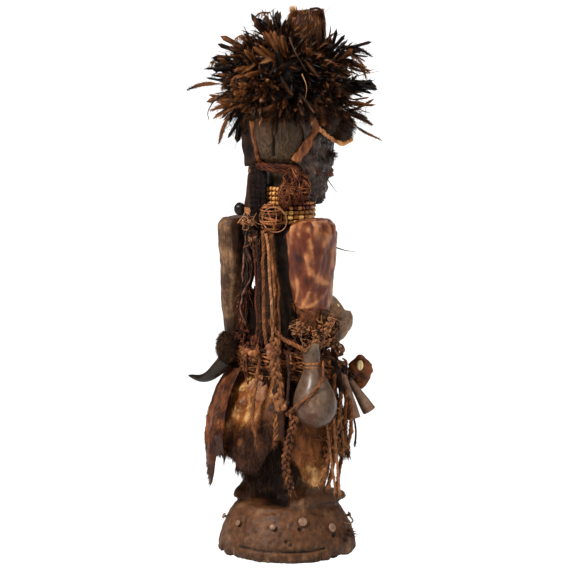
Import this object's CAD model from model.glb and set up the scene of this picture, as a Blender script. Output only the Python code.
import math

import bmesh
import bpy
import numpy as np
from bpy.props import FloatProperty, FloatVectorProperty, IntProperty, PointerProperty
from mathutils import Matrix, Vector
from numpy import (
    arange, array, asarray, broadcast_to, clip, concatenate, cos, cross, diff, exp, interp, linspace, maximum,
    minimum, outer, pi, radians, sin, sqrt, stack, vstack, where, zeros,
)
from numpy.linalg import norm


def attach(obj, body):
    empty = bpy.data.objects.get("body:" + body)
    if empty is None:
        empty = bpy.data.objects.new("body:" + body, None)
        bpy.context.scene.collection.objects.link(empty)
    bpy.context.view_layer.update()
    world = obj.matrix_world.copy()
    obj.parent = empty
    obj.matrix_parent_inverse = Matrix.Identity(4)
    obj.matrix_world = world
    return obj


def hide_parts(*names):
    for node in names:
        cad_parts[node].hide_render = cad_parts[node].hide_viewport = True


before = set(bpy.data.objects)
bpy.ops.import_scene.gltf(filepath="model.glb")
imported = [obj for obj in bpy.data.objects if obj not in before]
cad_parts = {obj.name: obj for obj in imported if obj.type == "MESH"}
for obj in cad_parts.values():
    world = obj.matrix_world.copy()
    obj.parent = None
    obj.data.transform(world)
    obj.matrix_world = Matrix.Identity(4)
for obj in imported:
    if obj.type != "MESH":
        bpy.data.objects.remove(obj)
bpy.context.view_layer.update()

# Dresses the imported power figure: carved wood, feathers, hides, cords, beads, bells and a calabash.
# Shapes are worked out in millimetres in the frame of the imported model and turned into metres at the
# end. The figure faces -Y, its right hand is towards -X and the ground is at zero.
# Angles round the body start at the middle of the back and grow towards its right hand.

bl_info = {
    "name": "Dressed power figure",
    "version": (1, 0, 0),
    "blender": (4, 5, 0),
    "location": "View3D > Sidebar > Figure",
    "description": "Carved wood, feathers, hides, cords and amulets around the packed figure",
    "category": "Object",
}

MM = 0.001
BASE_TOP = 92.0
BODY = "root"

# The photograph's side: behind the figure, 40 degrees round towards its right hand
VIEW_ANGLE = math.radians(40)
NEAR = array([-math.sin(VIEW_ANGLE), math.cos(VIEW_ANGLE), 0.0])
RIGHT = array([-math.cos(VIEW_ANGLE), -math.sin(VIEW_ANGLE), 0.0])
SKY = array([0.0, 0.0, 1.0])


# Settings ---------------------------------------------------------------------------------------


def colour(name, description, value):
    return FloatVectorProperty(
        name=name, description=description, default=value, subtype="COLOR", size=3, min=0.0, max=1.0
    )


def length(name, description, value, least):
    return FloatProperty(name=name, description=description, default=value, min=least, unit="LENGTH")


class WoodSettings(bpy.types.PropertyGroup):
    """Sizes and colours of the carved wood."""

    grain: length("Carving step", "Width of the smallest form that the carved surface holds", 0.0028, 0.0015)
    adze: length("Adze depth", "Depth of the hollows that the adze left", 0.0011, 0.0)
    crust: colour("Crust", "Old oil and soot in the hollows", (0.010, 0.006, 0.004))
    body: colour("Wood", "Handled dark wood", (0.060, 0.028, 0.014))
    worn: colour("Worn", "Bare wood where the surface is rubbed", (0.300, 0.168, 0.086))
    dust: colour("Dust", "Pale earth on the base and the shoulders", (0.142, 0.056, 0.022))


class FibreSettings(bpy.types.PropertyGroup):
    """Colours of the cords and strings."""

    plain: colour("Cord", "Twisted plant fibre", (0.165, 0.066, 0.025))
    pale: colour("Pale cord", "Cleaner, paler fibre", (0.26, 0.120, 0.055))
    dark: colour("Dark cord", "Sooty fibre and dark cloth", (0.042, 0.019, 0.013))


class HideSettings(bpy.types.PropertyGroup):
    """Sizes and colours of the hides and pelts."""

    fur: length("Fur length", "Length of the longest hairs of a pelt", 0.022, 0.004)
    locks: IntProperty(
        name="Locks of fur", description="Locks of hair in each hundred square centimetres of pelt",
        default=4200, min=100,
    )
    red: colour("Red hide", "Oiled hide with red earth", (0.115, 0.027, 0.010))
    gold: colour("Golden pelt", "Short golden fur", (0.190, 0.066, 0.017))
    brown: colour("Brown pelt", "Long dark brown fur", (0.042, 0.018, 0.009))
    pale: colour("Pale hide", "Rubbed folds and bare skin", (0.40, 0.175, 0.070))


class FeatherSettings(bpy.types.PropertyGroup):
    """Numbers and colours of the headdress's feathers."""

    clumps: IntProperty(name="Clumps", description="Bunches of feathers tied on the head", default=150, min=8)
    reach: length("Feather length", "Length of a feather of the middling kind", 0.074, 0.02)
    black: colour("Black", "Black vanes", (0.005, 0.0035, 0.003))
    rust: colour("Rust", "Rust-brown vanes", (0.21, 0.080, 0.026))
    tan: colour("Tan", "Pale tips and quills", (0.42, 0.235, 0.10))


class StageSettings(bpy.types.PropertyGroup):
    """The camera's lens and the strength of the lights."""

    lens: FloatProperty(
        name="Lens", description="Focal length of the camera", default=177.2, min=20.0, unit="CAMERA"
    )
    key: FloatProperty(
        name="Key light", description="Strength of the large lamp at the upper left", default=3.5, min=0.0
    )
    sky: FloatProperty(name="Surrounding light", description="Strength of the white room", default=0.20, min=0.0)
    floor: colour("Floor", "Colour of the floor", (0.93, 0.93, 0.93))


SETTINGS = (
    ("figure_wood", WoodSettings),
    ("figure_fibre", FibreSettings),
    ("figure_hide", HideSettings),
    ("figure_feather", FeatherSettings),
    ("figure_stage", StageSettings),
)


def setting(group):
    return getattr(bpy.context.scene, "figure_" + group)


# Places and lines -------------------------------------------------------------------------------


def above_base(route):
    """Points in millimetres whose heights were measured from the base's top."""
    return asarray(route, float) + (0.0, 0.0, BASE_TOP)


def around(angle, radius, z):
    """A place beside the body, by degrees from the middle of the back. All three may be arrays."""
    turn = radians(angle)
    return stack(np.broadcast_arrays(-radius * sin(turn), radius * cos(turn), z), axis=-1)


def in_view(right, near, z):
    """A place by its distance to the photograph's right and towards its viewer, beside the body's axis."""
    return right * RIGHT + near * NEAR + z * SKY


def oval(turn, wide, deep, z=0.0):
    """Points round an upright axis, by their turns from +X."""
    return stack(np.broadcast_arrays(wide * cos(turn), deep * sin(turn), z), axis=-1)


def turns(count, closed=False):
    """Even turns of a full round. A closed one ends where it starts."""
    return linspace(0, 2 * pi, count, endpoint=closed)


def shares(line):
    """From 0 to 1 along a line's points."""
    return linspace(0, 1, len(line))


def levels_at(share, levels):
    """The columns of a table, at shares of the way from its first row to its last."""
    return [interp(share, shares(levels), column) for column in zip(*levels)]


def squared(wave, power):
    """A sine or cosine that makes a squarer ring, with a power below one."""
    return np.sign(wave) * np.abs(wave) ** power


def hump(value, width, power=2):
    """1 at zero, and falling away on both sides."""
    return exp(-((value / width) ** power))


def unit(vectors):
    vectors = asarray(vectors, float)
    return vectors / maximum(norm(vectors, axis=-1, keepdims=True), 1e-9)


def reach_of(path):
    """The distance along a path at each of its points."""
    return concatenate([[0.0], np.cumsum(norm(diff(path, axis=0), axis=1))])


def spaced(path, spacing):
    """The same line, with points at even distances."""
    reach = reach_of(path)
    marks = linspace(0.0, reach[-1], max(3, int(round(reach[-1] / spacing)) + 1))
    return stack([interp(marks, reach, path[:, k]) for k in range(3)], axis=1)


def curve(points, spacing=2.5):
    """An even line along the centripetal curve through the points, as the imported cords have."""
    p = asarray(points, float)
    p = vstack([2 * p[0] - p[1], p, 2 * p[-1] - p[-2]])
    line = []
    for a, b, c, d in zip(p, p[1:], p[2:], p[3:]):
        t1 = norm(b - a) ** 0.5
        t2 = t1 + norm(c - b) ** 0.5
        t3 = t2 + norm(d - c) ** 0.5
        t = linspace(t1, t2, 14, endpoint=False)[:, None]
        low = (t1 - t) / t1 * a + t / t1 * b
        mid = (t2 - t) / (t2 - t1) * b + (t - t1) / (t2 - t1) * c
        high = (t3 - t) / (t3 - t2) * c + (t - t2) / (t3 - t2) * d
        left = (t2 - t) / t2 * low + t / t2 * mid
        right = (t3 - t) / (t3 - t1) * mid + (t - t1) / (t3 - t1) * high
        line.append((t2 - t) / (t2 - t1) * left + (t - t1) / (t2 - t1) * right)
    return spaced(vstack(line + [p[-2][None]]), spacing)


def curve_seen(route, spacing=3):
    """A curve whose points are given as (right, near, z) in the photograph's view."""
    return curve([in_view(*spot) for spot in route], spacing)


def length_of(path):
    return float(norm(diff(path, axis=0), axis=1).sum())


def across(path, side=None):
    """Two directions across each point of a path, which turn with it as little as they can."""
    ahead = unit(np.gradient(path, axis=0))
    start = cross(ahead[0], SKY) if side is None else asarray(side, float)
    if norm(cross(start, ahead[0])) < 1e-3:
        start = cross(ahead[0], NEAR)
    sides = np.empty_like(path)
    last = start
    for i, tangent in enumerate(ahead):
        last = last - tangent * last.dot(tangent)
        last = last / norm(last)
        sides[i] = last
    return sides, cross(ahead, sides)


def swung(one, two, turn, flat=1.0):
    """Ways between two directions, by turns from the first to the second."""
    return cos(turn)[:, None] * one + flat * sin(turn)[:, None] * two


LATTICE = np.random.default_rng(11).uniform(-1.0, 1.0, (32, 32, 32))


def lumps(points, size, shift=0.0):
    """Smooth random values from -1 to 1 at the points, in lumps of the given size."""
    q = asarray(points, float) / size + shift
    cell = np.floor(q).astype(int)
    f = q - cell
    f = f * f * (3 - 2 * f)
    low, high = cell % 32, (cell + 1) % 32
    value = 0.0
    for corner in range(8):
        pick = [(corner >> k) & 1 for k in range(3)]
        place = tuple(where(bit, high[..., k], low[..., k]) for k, bit in enumerate(pick))
        weight = np.prod([f[..., k] if bit else 1 - f[..., k] for k, bit in enumerate(pick)], axis=0)
        value = value + weight * LATTICE[place]
    return value


def drift(points, size, *shifts):
    """Three smooth random values at each point, as an offset in space."""
    return stack([lumps(points, size, shift) for shift in shifts], axis=-1)


def ease(value, low, high):
    """0 below low, 1 above high and smooth between."""
    t = clip((value - low) / (high - low), 0.0, 1.0)
    return t * t * (3 - 2 * t)


def from_line(points, line):
    """How far each point is from a line of points, the line's own course included."""
    nearest = np.full(len(points), 1e9)
    for a, b in zip(line, line[1:]):
        step = b - a
        t = clip((points - a) @ step / max(step @ step, 1e-9), 0, 1)
        nearest = minimum(nearest, norm(points - a - t[:, None] * step, axis=1))
    return nearest


# Meshes -----------------------------------------------------------------------------------------


# How far a rope's strands lie from its middle and how thick they are, as shares of its thickness
STRAND_SIZES = {1: (0.0, 0.5), 2: (0.25, 0.25), 3: (0.262, 0.238), 4: (0.29, 0.21)}


class Skein:
    """Gathers the points and faces of one piece, with a tone for each point: 0 dark, 1 pale."""

    def __init__(self, seed=1):
        self.random = np.random.default_rng(seed)
        self.points, self.tones, self.faces = [], [], []
        self.count = 0

    def scatter(self, count):
        """Random offsets in space, one for each of a number of things."""
        return self.random.normal(size=(count, 3))

    def add(self, points, faces, tone=0.5):
        points = asarray(points, float).reshape(-1, 3)
        for block in faces:
            self.faces.append(asarray(block) + self.count)
        self.points.append(points)
        self.tones.append(broadcast_to(asarray(tone, float), (len(points),)))
        self.count += len(points)

    def grid(self, spots, tone=0.5, wraps=False, capped=False):
        """A skin over rows of points. One that wraps joins each row's end to its start."""
        rows, columns = spots.shape[:2]
        spots_flat = spots.reshape(-1, 3)
        index = arange(rows * columns).reshape(rows, columns)
        right = np.roll(index, -1, axis=1) if wraps else index[:, 1:]
        left = index if wraps else index[:, :-1]
        blocks = [stack([left[:-1], right[:-1], right[1:], left[1:]], axis=-1).reshape(-1, 4)]
        tone = broadcast_to(asarray(tone, float), (rows, columns)).reshape(-1)
        if capped:
            ends = [spots[0].mean(axis=0), spots[-1].mean(axis=0)]
            spots_flat = vstack([spots_flat] + [end[None] for end in ends])
            tone = concatenate([tone, tone[[0, -1]]])
            first, last = rows * columns, rows * columns + 1
            start, end = index[0], index[-1]
            blocks.append(stack([np.roll(start, -1), start, np.full(columns, first)], axis=-1))
            blocks.append(stack([end, np.roll(end, -1), np.full(columns, last)], axis=-1))
        self.add(spots_flat, blocks, tone)

    def tube(self, path, radius, sides=6, flat=1.0, side=None, tone=0.5):
        """A closed tube. radius may change along it, and flat narrows it across the given side."""
        one, two = across(path, side)
        radius = broadcast_to(asarray(radius, float), (len(path),))[:, None, None]
        ring = swung(one[:, None], two[:, None], turns(sides), flat)
        tone = broadcast_to(asarray(tone, float), (len(path),))[:, None]
        self.grid(path[:, None] + radius * ring, np.repeat(tone, sides, axis=1), wraps=True, capped=True)

    def rope(self, path, diameter, strands=3, pitch=3.2, sides=6, tone=0.5, turn=0.0):
        """Strands twisted round each other."""
        one, two = across(path)
        reach = reach_of(path)
        out, thick = STRAND_SIZES[strands]
        for k in range(strands):
            spin = turn + 2 * pi * (k / strands + reach / (pitch * diameter))
            ripple = 1 + 0.12 * lumps(path + 40 * k, diameter * 1.4)
            line = path + out * diameter * ripple[:, None] * swung(one, two, spin)
            shade = tone + 0.16 * lumps(path + 90 * k, diameter * 2.5) + 0.05 * (k - 1)
            self.tube(line, thick * diameter, sides, tone=shade)

    def plait(self, path, width, side, pitch=2.3, sides=8, tone=0.5):
        """Three flat strands laid over each other, with its face across the given side."""
        one, two = across(path, side)
        reach = reach_of(path)
        for k in range(3):
            turn = 2 * pi * (reach / (pitch * width) + k / 3)
            line = path + width * (0.29 * sin(turn)[:, None] * one + 0.14 * sin(2 * turn)[:, None] * two)
            shade = tone - 0.16 + 0.2 * lumps(path + 60 * k, width)
            self.tube(line, 0.205 * width * (1 + 0.08 * lumps(line, width / 2)), sides, 0.8, tone=shade)
            for m in range(3):
                swing = 2 * pi * m / 3 + reach / (0.5 * width)
                thread = line + unit(line - path) * 0.17 * width * 0.3 + 0.16 * width * swung(one, two, swing, 0.8)
                self.tube(thread, 0.055 * width, 3, tone=shade + 0.2 + 0.1 * (m - 1))

    def wrap(self, path, radius, pitch, thread, tone=0.5):
        """A thread wound round a path."""
        fine = spaced(path, max(pitch, 1.0) / 10)
        one, two = across(fine)
        swing = linspace(0, 2 * pi * length_of(path) / pitch, len(fine))
        self.tube(fine + radius * swung(one, two, swing), thread / 2, 5, tone=tone)

    def tangle(self, centre, half, count, thread, rounds=1.3, tone=0.5, lean=0.5):
        """Loops of thread that lie over a rounded bundle in all directions."""
        pick = self.random
        for _ in range(count):
            axis = unit(pick.normal(size=3) * (1, 1, lean))
            one = unit(cross(axis, pick.normal(size=3)))
            swing = linspace(0, 2 * pi * rounds * pick.uniform(0.7, 1.2), 38)
            tilt = axis * sin(swing * pick.uniform(0.6, 1.7) + pick.uniform(0, 6))[:, None] * 0.45
            way = unit(swung(one, cross(axis, one), swing) + tilt)
            loop = centre + half * way * pick.uniform(0.86, 1.04)
            self.tube(loop, thread / 2 * pick.uniform(0.7, 1.2), 5, tone=tone + pick.normal() * 0.22)

    def snarl(self, centre, half, count, thread, tone=0.5):
        """Small knots and bent ends of string that lie anyhow in a box."""
        pick = self.random
        for _ in range(count):
            place = centre + half * pick.uniform(-1, 1, 3)
            shade = tone + 0.2 * pick.normal()
            self.knot(place, thread * pick.uniform(2.4, 4.6), pick.normal(size=3), shade)
            for _ in range(2):
                bend = place + 5.0 * pick.normal(size=3)
                end = bend + 6.0 * pick.normal(size=3) - 2.0 * SKY
                self.tube(curve([place, bend, end], 2.6), thread / 2, 5, tone=shade - 0.1)

    def spikes(self, roots, ways, lengths, widths, bends=0.0, tone=0.5, tip_tone=None):
        """Closed three-sided hairs, one for each root, bent by the given offset at their tips."""
        count = len(roots)
        ways = unit(ways)
        one = unit(cross(ways, self.scatter(count)))
        two = cross(ways, one)
        lengths, widths = (broadcast_to(size, (count,))[:, None] for size in (lengths, widths))
        bends = broadcast_to(bends, (count, 3))
        rings = []
        for share, thin in ((0.0, 1.0), (0.5, 0.72)):
            centre = roots + ways * lengths * share + bends * share**2
            for turn in (2 * pi * k / 3 for k in range(3)):
                rings.append(centre + widths * thin / 2 * (math.cos(turn) * one + math.sin(turn) * two))
        points = stack(rings + [roots + ways * lengths + bends], axis=1)
        base = arange(count)[:, None] * 7
        sides = [[0, 1, 4, 3], [1, 2, 5, 4], [2, 0, 3, 5]]
        ends = [[3, 4, 6], [4, 5, 6], [5, 3, 6], [2, 1, 0]]
        quads = concatenate([base + array(s) for s in sides])
        tris = concatenate([base + array(e) for e in ends])
        tone = broadcast_to(tone, (count,))
        tip_tone = tone if tip_tone is None else broadcast_to(tip_tone, (count,))
        share = array([0, 0, 0, 0.5, 0.5, 0.5, 1.0])
        self.add(points, [quads, tris], (tone[:, None] * (1 - share) + tip_tone[:, None] * share).ravel())

    def fuzz(self, path, diameter, every=3.0, reach=0.8, tone=0.6, thick=0.45):
        """Loose fibres that stand off a cord."""
        count = max(3, int(length_of(path) / every))
        pick = self.random.integers(0, len(path) - 1, count)
        out = unit(self.random.normal(size=(count, 3)))
        ahead = unit(np.gradient(path, axis=0))[pick]
        ways = unit(out + ahead * self.random.uniform(-0.4, 1.4, (count, 1)))
        roots = path[pick] + out * diameter * 0.38
        lengths = diameter * reach * self.random.uniform(0.4, 1.5, count)
        drop = -SKY * lengths[:, None] * 0.35
        self.spikes(roots, ways, lengths, thick, drop, tone + self.random.normal(size=count) * 0.15)

    def fray(self, place, way, count, length, spread, thick=0.9, tone=0.55):
        """The loosened threads at a cord's end."""
        way = unit(way)
        out = self.random.normal(size=(count, 3))
        roots = place + out * spread * 0.3
        ways = unit(way + unit(out) * self.random.uniform(0, 0.35, (count, 1)))
        lengths = length * self.random.uniform(0.45, 1.0, count)
        self.spikes(roots, ways, lengths, thick, unit(out) * spread * 0.4, tone + out[:, 0] * 0.14)

    def knot(self, place, size, way, tone=0.5):
        """An overhand knot: a trefoil pulled tight on a cord that runs the given way."""
        way = unit(way)
        one = unit(cross(way, RIGHT + 0.1 * SKY))
        two = cross(way, one)
        t = linspace(0, 2 * pi, 40)[:, None]
        line = (sin(t) + 1.6 * sin(2 * t)) * one + (cos(t) - 1.6 * cos(2 * t)) * two
        line = asarray(place) + size * (0.135 * line - 0.24 * sin(3 * t) * way)
        self.tube(line, 0.2 * size, 6, tone=tone + 0.12 * lumps(line, size / 2))

    def ball(self, centre, half, rows=10, columns=14, bumps=0.0, bump_size=6.0, tone=0.5):
        """A rounded lump, with bumps on it."""
        rise = linspace(-pi / 2, pi / 2, rows + 2)[1:-1, None]
        way = oval(turns(columns), cos(rise), cos(rise), sin(rise))
        spots = centre + half * way
        self.grid(spots + way * bumps * lumps(spots, bump_size)[..., None], tone, wraps=True, capped=True)

    def piece(self, name, finish, *nodes):
        """The finished object, in metres, with its tones in a point attribute."""
        mesh = bpy.data.meshes.new(name)
        faces = [face for block in self.faces for face in block.tolist()]
        mesh.from_pydata((concatenate(self.points) * MM).tolist(), [], faces)
        mesh.update()
        add_tone(mesh, "tone", concatenate(self.tones))
        smooth(mesh)
        return settle(placed(name, mesh), finish, *nodes)


def settle(made, finish, *nodes):
    """Gives a finished piece its material and slot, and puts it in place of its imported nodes."""
    made.data.materials.clear()
    made.data.materials.append(FINISHES[finish])
    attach(made, BODY)
    if nodes:
        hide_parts(*nodes)
    return made


def placed(name, data):
    """A new object in the scene."""
    made = bpy.data.objects.new(name, data)
    bpy.context.scene.collection.objects.link(made)
    return made


def pick_only(made):
    bpy.ops.object.select_all(action="DESELECT")
    bpy.context.view_layer.objects.active = made
    made.select_set(True)


def modified(made, *modifiers):
    """Adds modifiers, each as a kind with its values, and applies them in their order."""
    for kind, values in modifiers:
        modifier = made.modifiers.new(kind.title(), kind)
        for name, value in values.items():
            setattr(modifier, name, value)
    pick_only(made)
    for modifier in list(made.modifiers):
        bpy.ops.object.modifier_apply(modifier=modifier.name)


def read(mesh, field):
    values = np.empty(len(mesh.vertices) * 3)
    mesh.vertices.foreach_get(field, values)
    return values.reshape(-1, 3)


def spots_of(mesh):
    return read(mesh, "co") / MM


def smooth(mesh):
    mesh.polygons.foreach_set("use_smooth", [True] * len(mesh.polygons))


def add_tone(mesh, name, values):
    layer = mesh.attributes.get(name) or mesh.attributes.new(name, "FLOAT", "POINT")
    layer.data.foreach_set("value", clip(values, 0, 1).astype(np.float32))


def move_to(mesh, spots, **tones):
    """Puts a mesh's points at the given places in millimetres, with its point attributes."""
    mesh.vertices.foreach_set("co", (spots * MM).ravel())
    for name, values in tones.items():
        add_tone(mesh, name, values)
    mesh.update()


def push(made, depth, **tones):
    """Moves a piece's points out by the given millimetres."""
    move_to(made.data, spots_of(made.data) + read(made.data, "normal") * depth[:, None], **tones)


def spun(name, profile, steps=40, start=(0, 0, 0), way=(0, 0, 1)):
    """A turned shape: an open or closed profile of (radius, height) spun round its axis, then aimed."""
    mesh = bpy.data.meshes.new(name)
    made = placed(name, mesh)
    points = [(radius * MM, 0.0, height * MM) for radius, height in profile]
    mesh.from_pydata(points, [(i, i + 1) for i in range(len(points) - 1)], [])
    pick_only(made)
    bpy.ops.object.mode_set(mode="EDIT")
    bpy.ops.mesh.select_all(action="SELECT")
    bpy.ops.mesh.spin(steps=steps, angle=2 * math.pi, center=(0, 0, 0), axis=(0, 0, 1))
    bpy.ops.mesh.select_all(action="SELECT")
    bpy.ops.mesh.remove_doubles(threshold=0.00002)
    bpy.ops.mesh.normals_make_consistent(inside=False)
    bpy.ops.object.mode_set(mode="OBJECT")
    bpy.ops.object.shade_smooth_by_angle(angle=math.radians(50))
    turn = Vector((0, 0, 1)).rotation_difference(Vector(way)).to_matrix().to_4x4()
    turn.translation = Vector(start) * MM
    mesh.transform(turn)
    mesh.update()
    return made


def copies(name, shape, placings):
    """One mesh from copies of a shape: each placing is a 4x4 matrix in metres."""
    gathered = bmesh.new()
    for matrix in placings:
        first = len(gathered.verts)
        gathered.from_mesh(shape.data)
        gathered.verts.ensure_lookup_table()
        bmesh.ops.transform(gathered, matrix=matrix, verts=gathered.verts[first:])
    mesh = bpy.data.meshes.new(name)
    gathered.to_mesh(mesh)
    gathered.free()
    smooth(mesh)
    bpy.data.objects.remove(shape)
    return placed(name, mesh)


# Materials --------------------------------------------------------------------------------------


def wire(tree, kind, inputs=None, **values):
    """Adds a node, with its settings, and its sockets set or linked."""
    made = tree.nodes.new(kind)
    for name, value in values.items():
        setattr(made, name, value)
    for name, value in (inputs or {}).items():
        socket = made.inputs[name]
        if isinstance(value, bpy.types.NodeSocket):
            tree.links.new(value, socket)
        else:
            socket.default_value = value
    return made


def mixed(tree, share, first, second):
    """A colour between two, by a share from 0 to 1."""
    return wire(tree, "ShaderNodeMix", {0: share, 6: rgba(first), 7: rgba(second)}, data_type="RGBA").outputs[2]


def rgba(value):
    return value if isinstance(value, bpy.types.NodeSocket) or len(value) == 4 else (*value, 1.0)


def sums(tree, operation, first, second=0.0, third=0.0):
    return wire(tree, "ShaderNodeMath", {0: first, 1: second, 2: third}, operation=operation).outputs[0]


def ranged(tree, value, low, high, out_low=0.0, out_high=1.0):
    return wire(
        tree, "ShaderNodeMapRange",
        {"Value": value, "From Min": low, "From Max": high, "To Min": out_low, "To Max": out_high},
        interpolation_type="SMOOTHSTEP",
    ).outputs["Result"]


def tone_of(tree, name="tone"):
    return wire(tree, "ShaderNodeAttribute", attribute_name=name).outputs["Fac"]


def noise_at(tree, vector, scale, detail=5.0, rough=0.6):
    return wire(
        tree, "ShaderNodeTexNoise",
        {"Vector": vector, "Scale": scale, "Detail": detail, "Roughness": rough},
    ).outputs["Fac"]


def spots_in(tree, stretch=(1.0, 1.0, 1.0)):
    place = wire(tree, "ShaderNodeTexCoord").outputs["Object"]
    return wire(tree, "ShaderNodeMapping", {"Vector": place, "Scale": stretch}).outputs["Vector"]


def new_group(name, inputs, outputs):
    tree = bpy.data.node_groups.new(name, "ShaderNodeTree")
    for label, kind, value in inputs:
        socket = tree.interface.new_socket(name=label, in_out="INPUT", socket_type="NodeSocket" + kind)
        if value is not None:
            socket.default_value = value
    for label, kind in outputs:
        tree.interface.new_socket(name=label, in_out="OUTPUT", socket_type="NodeSocket" + kind)
    return tree, wire(tree, "NodeGroupInput").outputs, wire(tree, "NodeGroupOutput").inputs


def weathered_group():
    """Uneven colour from dark through middle to pale, by a tone and two sizes of mottling."""
    tree, given, result = new_group(
        "Weathered colour",
        [
            ("Vector", "Vector", None), ("Tone", "Float", 0.5), ("Dark", "Color", (0, 0, 0, 1)),
            ("Middle", "Color", (0.2, 0.2, 0.2, 1)), ("Pale", "Color", (0.5, 0.5, 0.5, 1)),
            ("Scale", "Float", 90.0), ("Contrast", "Float", 0.8),
        ],
        [("Color", "Color"), ("Height", "Float"), ("Mask", "Float")],
    )
    coarse = noise_at(tree, given["Vector"], sums(tree, "MULTIPLY", given["Scale"], 0.32), 4.0, 0.55)
    fine = noise_at(tree, given["Vector"], given["Scale"], 7.0, 0.68)
    both = sums(tree, "ADD", sums(tree, "MULTIPLY", coarse, 0.55), sums(tree, "MULTIPLY", fine, 0.45))
    swing = sums(tree, "MULTIPLY", sums(tree, "SUBTRACT", both, 0.5), sums(tree, "MULTIPLY", given["Contrast"], 2.2))
    level = sums(tree, "ADD", given["Tone"], swing)
    lower = mixed(tree, ranged(tree, level, 0.0, 0.5), given["Dark"], given["Middle"])
    tree.links.new(mixed(tree, ranged(tree, level, 0.5, 1.0), lower, given["Pale"]), result["Color"])
    tree.links.new(fine, result["Height"])
    tree.links.new(level, result["Mask"])
    return tree


def dust_group():
    """Dust that lies on what faces up and in the hollows of a surface."""
    tree, given, result = new_group(
        "Settled dust",
        [
            ("Vector", "Vector", None), ("Color", "Color", (0.2, 0.2, 0.2, 1)),
            ("Dust", "Color", (0.4, 0.3, 0.2, 1)), ("Amount", "Float", 0.4), ("Scale", "Float", 60.0),
        ],
        [("Color", "Color"), ("Mask", "Float")],
    )
    facing = wire(tree, "ShaderNodeSeparateXYZ", {0: wire(tree, "ShaderNodeNewGeometry").outputs["Normal"]})
    upward = ranged(tree, facing.outputs["Z"], -0.5, 1.0)
    patchy = ranged(tree, noise_at(tree, given["Vector"], given["Scale"], 6.0, 0.7), 0.26, 0.62)
    share = sums(tree, "MULTIPLY", sums(tree, "MULTIPLY", upward, patchy), given["Amount"])
    tree.links.new(mixed(tree, share, given["Color"], given["Dust"]), result["Color"])
    tree.links.new(share, result["Mask"])
    return tree


GROUPS = {}
FINISHES = {}


def grouped(tree, name, inputs):
    made = wire(tree, "ShaderNodeGroup", node_tree=GROUPS[name])
    for label, value in inputs.items():
        if isinstance(value, bpy.types.NodeSocket):
            tree.links.new(value, made.inputs[label])
        else:
            made.inputs[label].default_value = value
    return made.outputs


def new_finish(name, roughness=0.6, **shader_values):
    """A material, its node tree and its shader, with the constants on the shader's own sockets."""
    material = bpy.data.materials.new(name.replace(":", "_"))
    material.use_nodes = True
    shader = material.node_tree.nodes["Principled BSDF"]
    shader.inputs["Roughness"].default_value = roughness
    shader.inputs["Specular IOR Level"].default_value = 0.22
    for label, value in shader_values.items():
        shader.inputs[label.replace("_", " ")].default_value = value
    FINISHES[name] = material
    return material.node_tree, shader


def weathered(
    name, dark, middle, pale, scale=110.0, contrast=0.8, stretch=(1.0, 1.0, 1.0), roughness=0.62, bump=0.5,
    dust=0.0, dust_colour=(0.36, 0.25, 0.16), tone=None, fibres=0.0, **shader_values,
):
    """A worn material: three colours, mottling, a bump that follows it, and dust where wanted."""
    tree, shader = new_finish(name, roughness, **shader_values)
    place = spots_in(tree, stretch)
    colours = grouped(tree, "weathered", {
        "Vector": place, "Tone": tone_of(tree) if tone is None else tone, "Dark": rgba(dark),
        "Middle": rgba(middle), "Pale": rgba(pale), "Scale": scale, "Contrast": contrast,
    })
    shown, height = colours["Color"], colours["Height"]
    if dust:
        dusty = grouped(tree, "dust", {
            "Vector": spots_in(tree), "Color": shown, "Dust": rgba(dust_colour), "Amount": dust, "Scale": 55.0,
        })
        shown = dusty["Color"]
    if fibres:
        threads = noise_at(tree, spots_in(tree, (1.0, 1.0, 0.14)), fibres, 3.0, 0.5)
        height = sums(tree, "ADD", height, threads)
    tree.links.new(shown, shader.inputs["Base Color"])
    rough = ranged(tree, colours["Height"], 0.3, 0.75, max(0.05, roughness - 0.16), min(1.0, roughness + 0.16))
    tree.links.new(rough, shader.inputs["Roughness"])
    lift = wire(tree, "ShaderNodeBump", {"Height": height, "Strength": bump, "Distance": 0.0012})
    tree.links.new(lift.outputs["Normal"], shader.inputs["Normal"])
    return tree, shader, lift


def shaded(value, share):
    return tuple(channel * share for channel in value)


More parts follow.
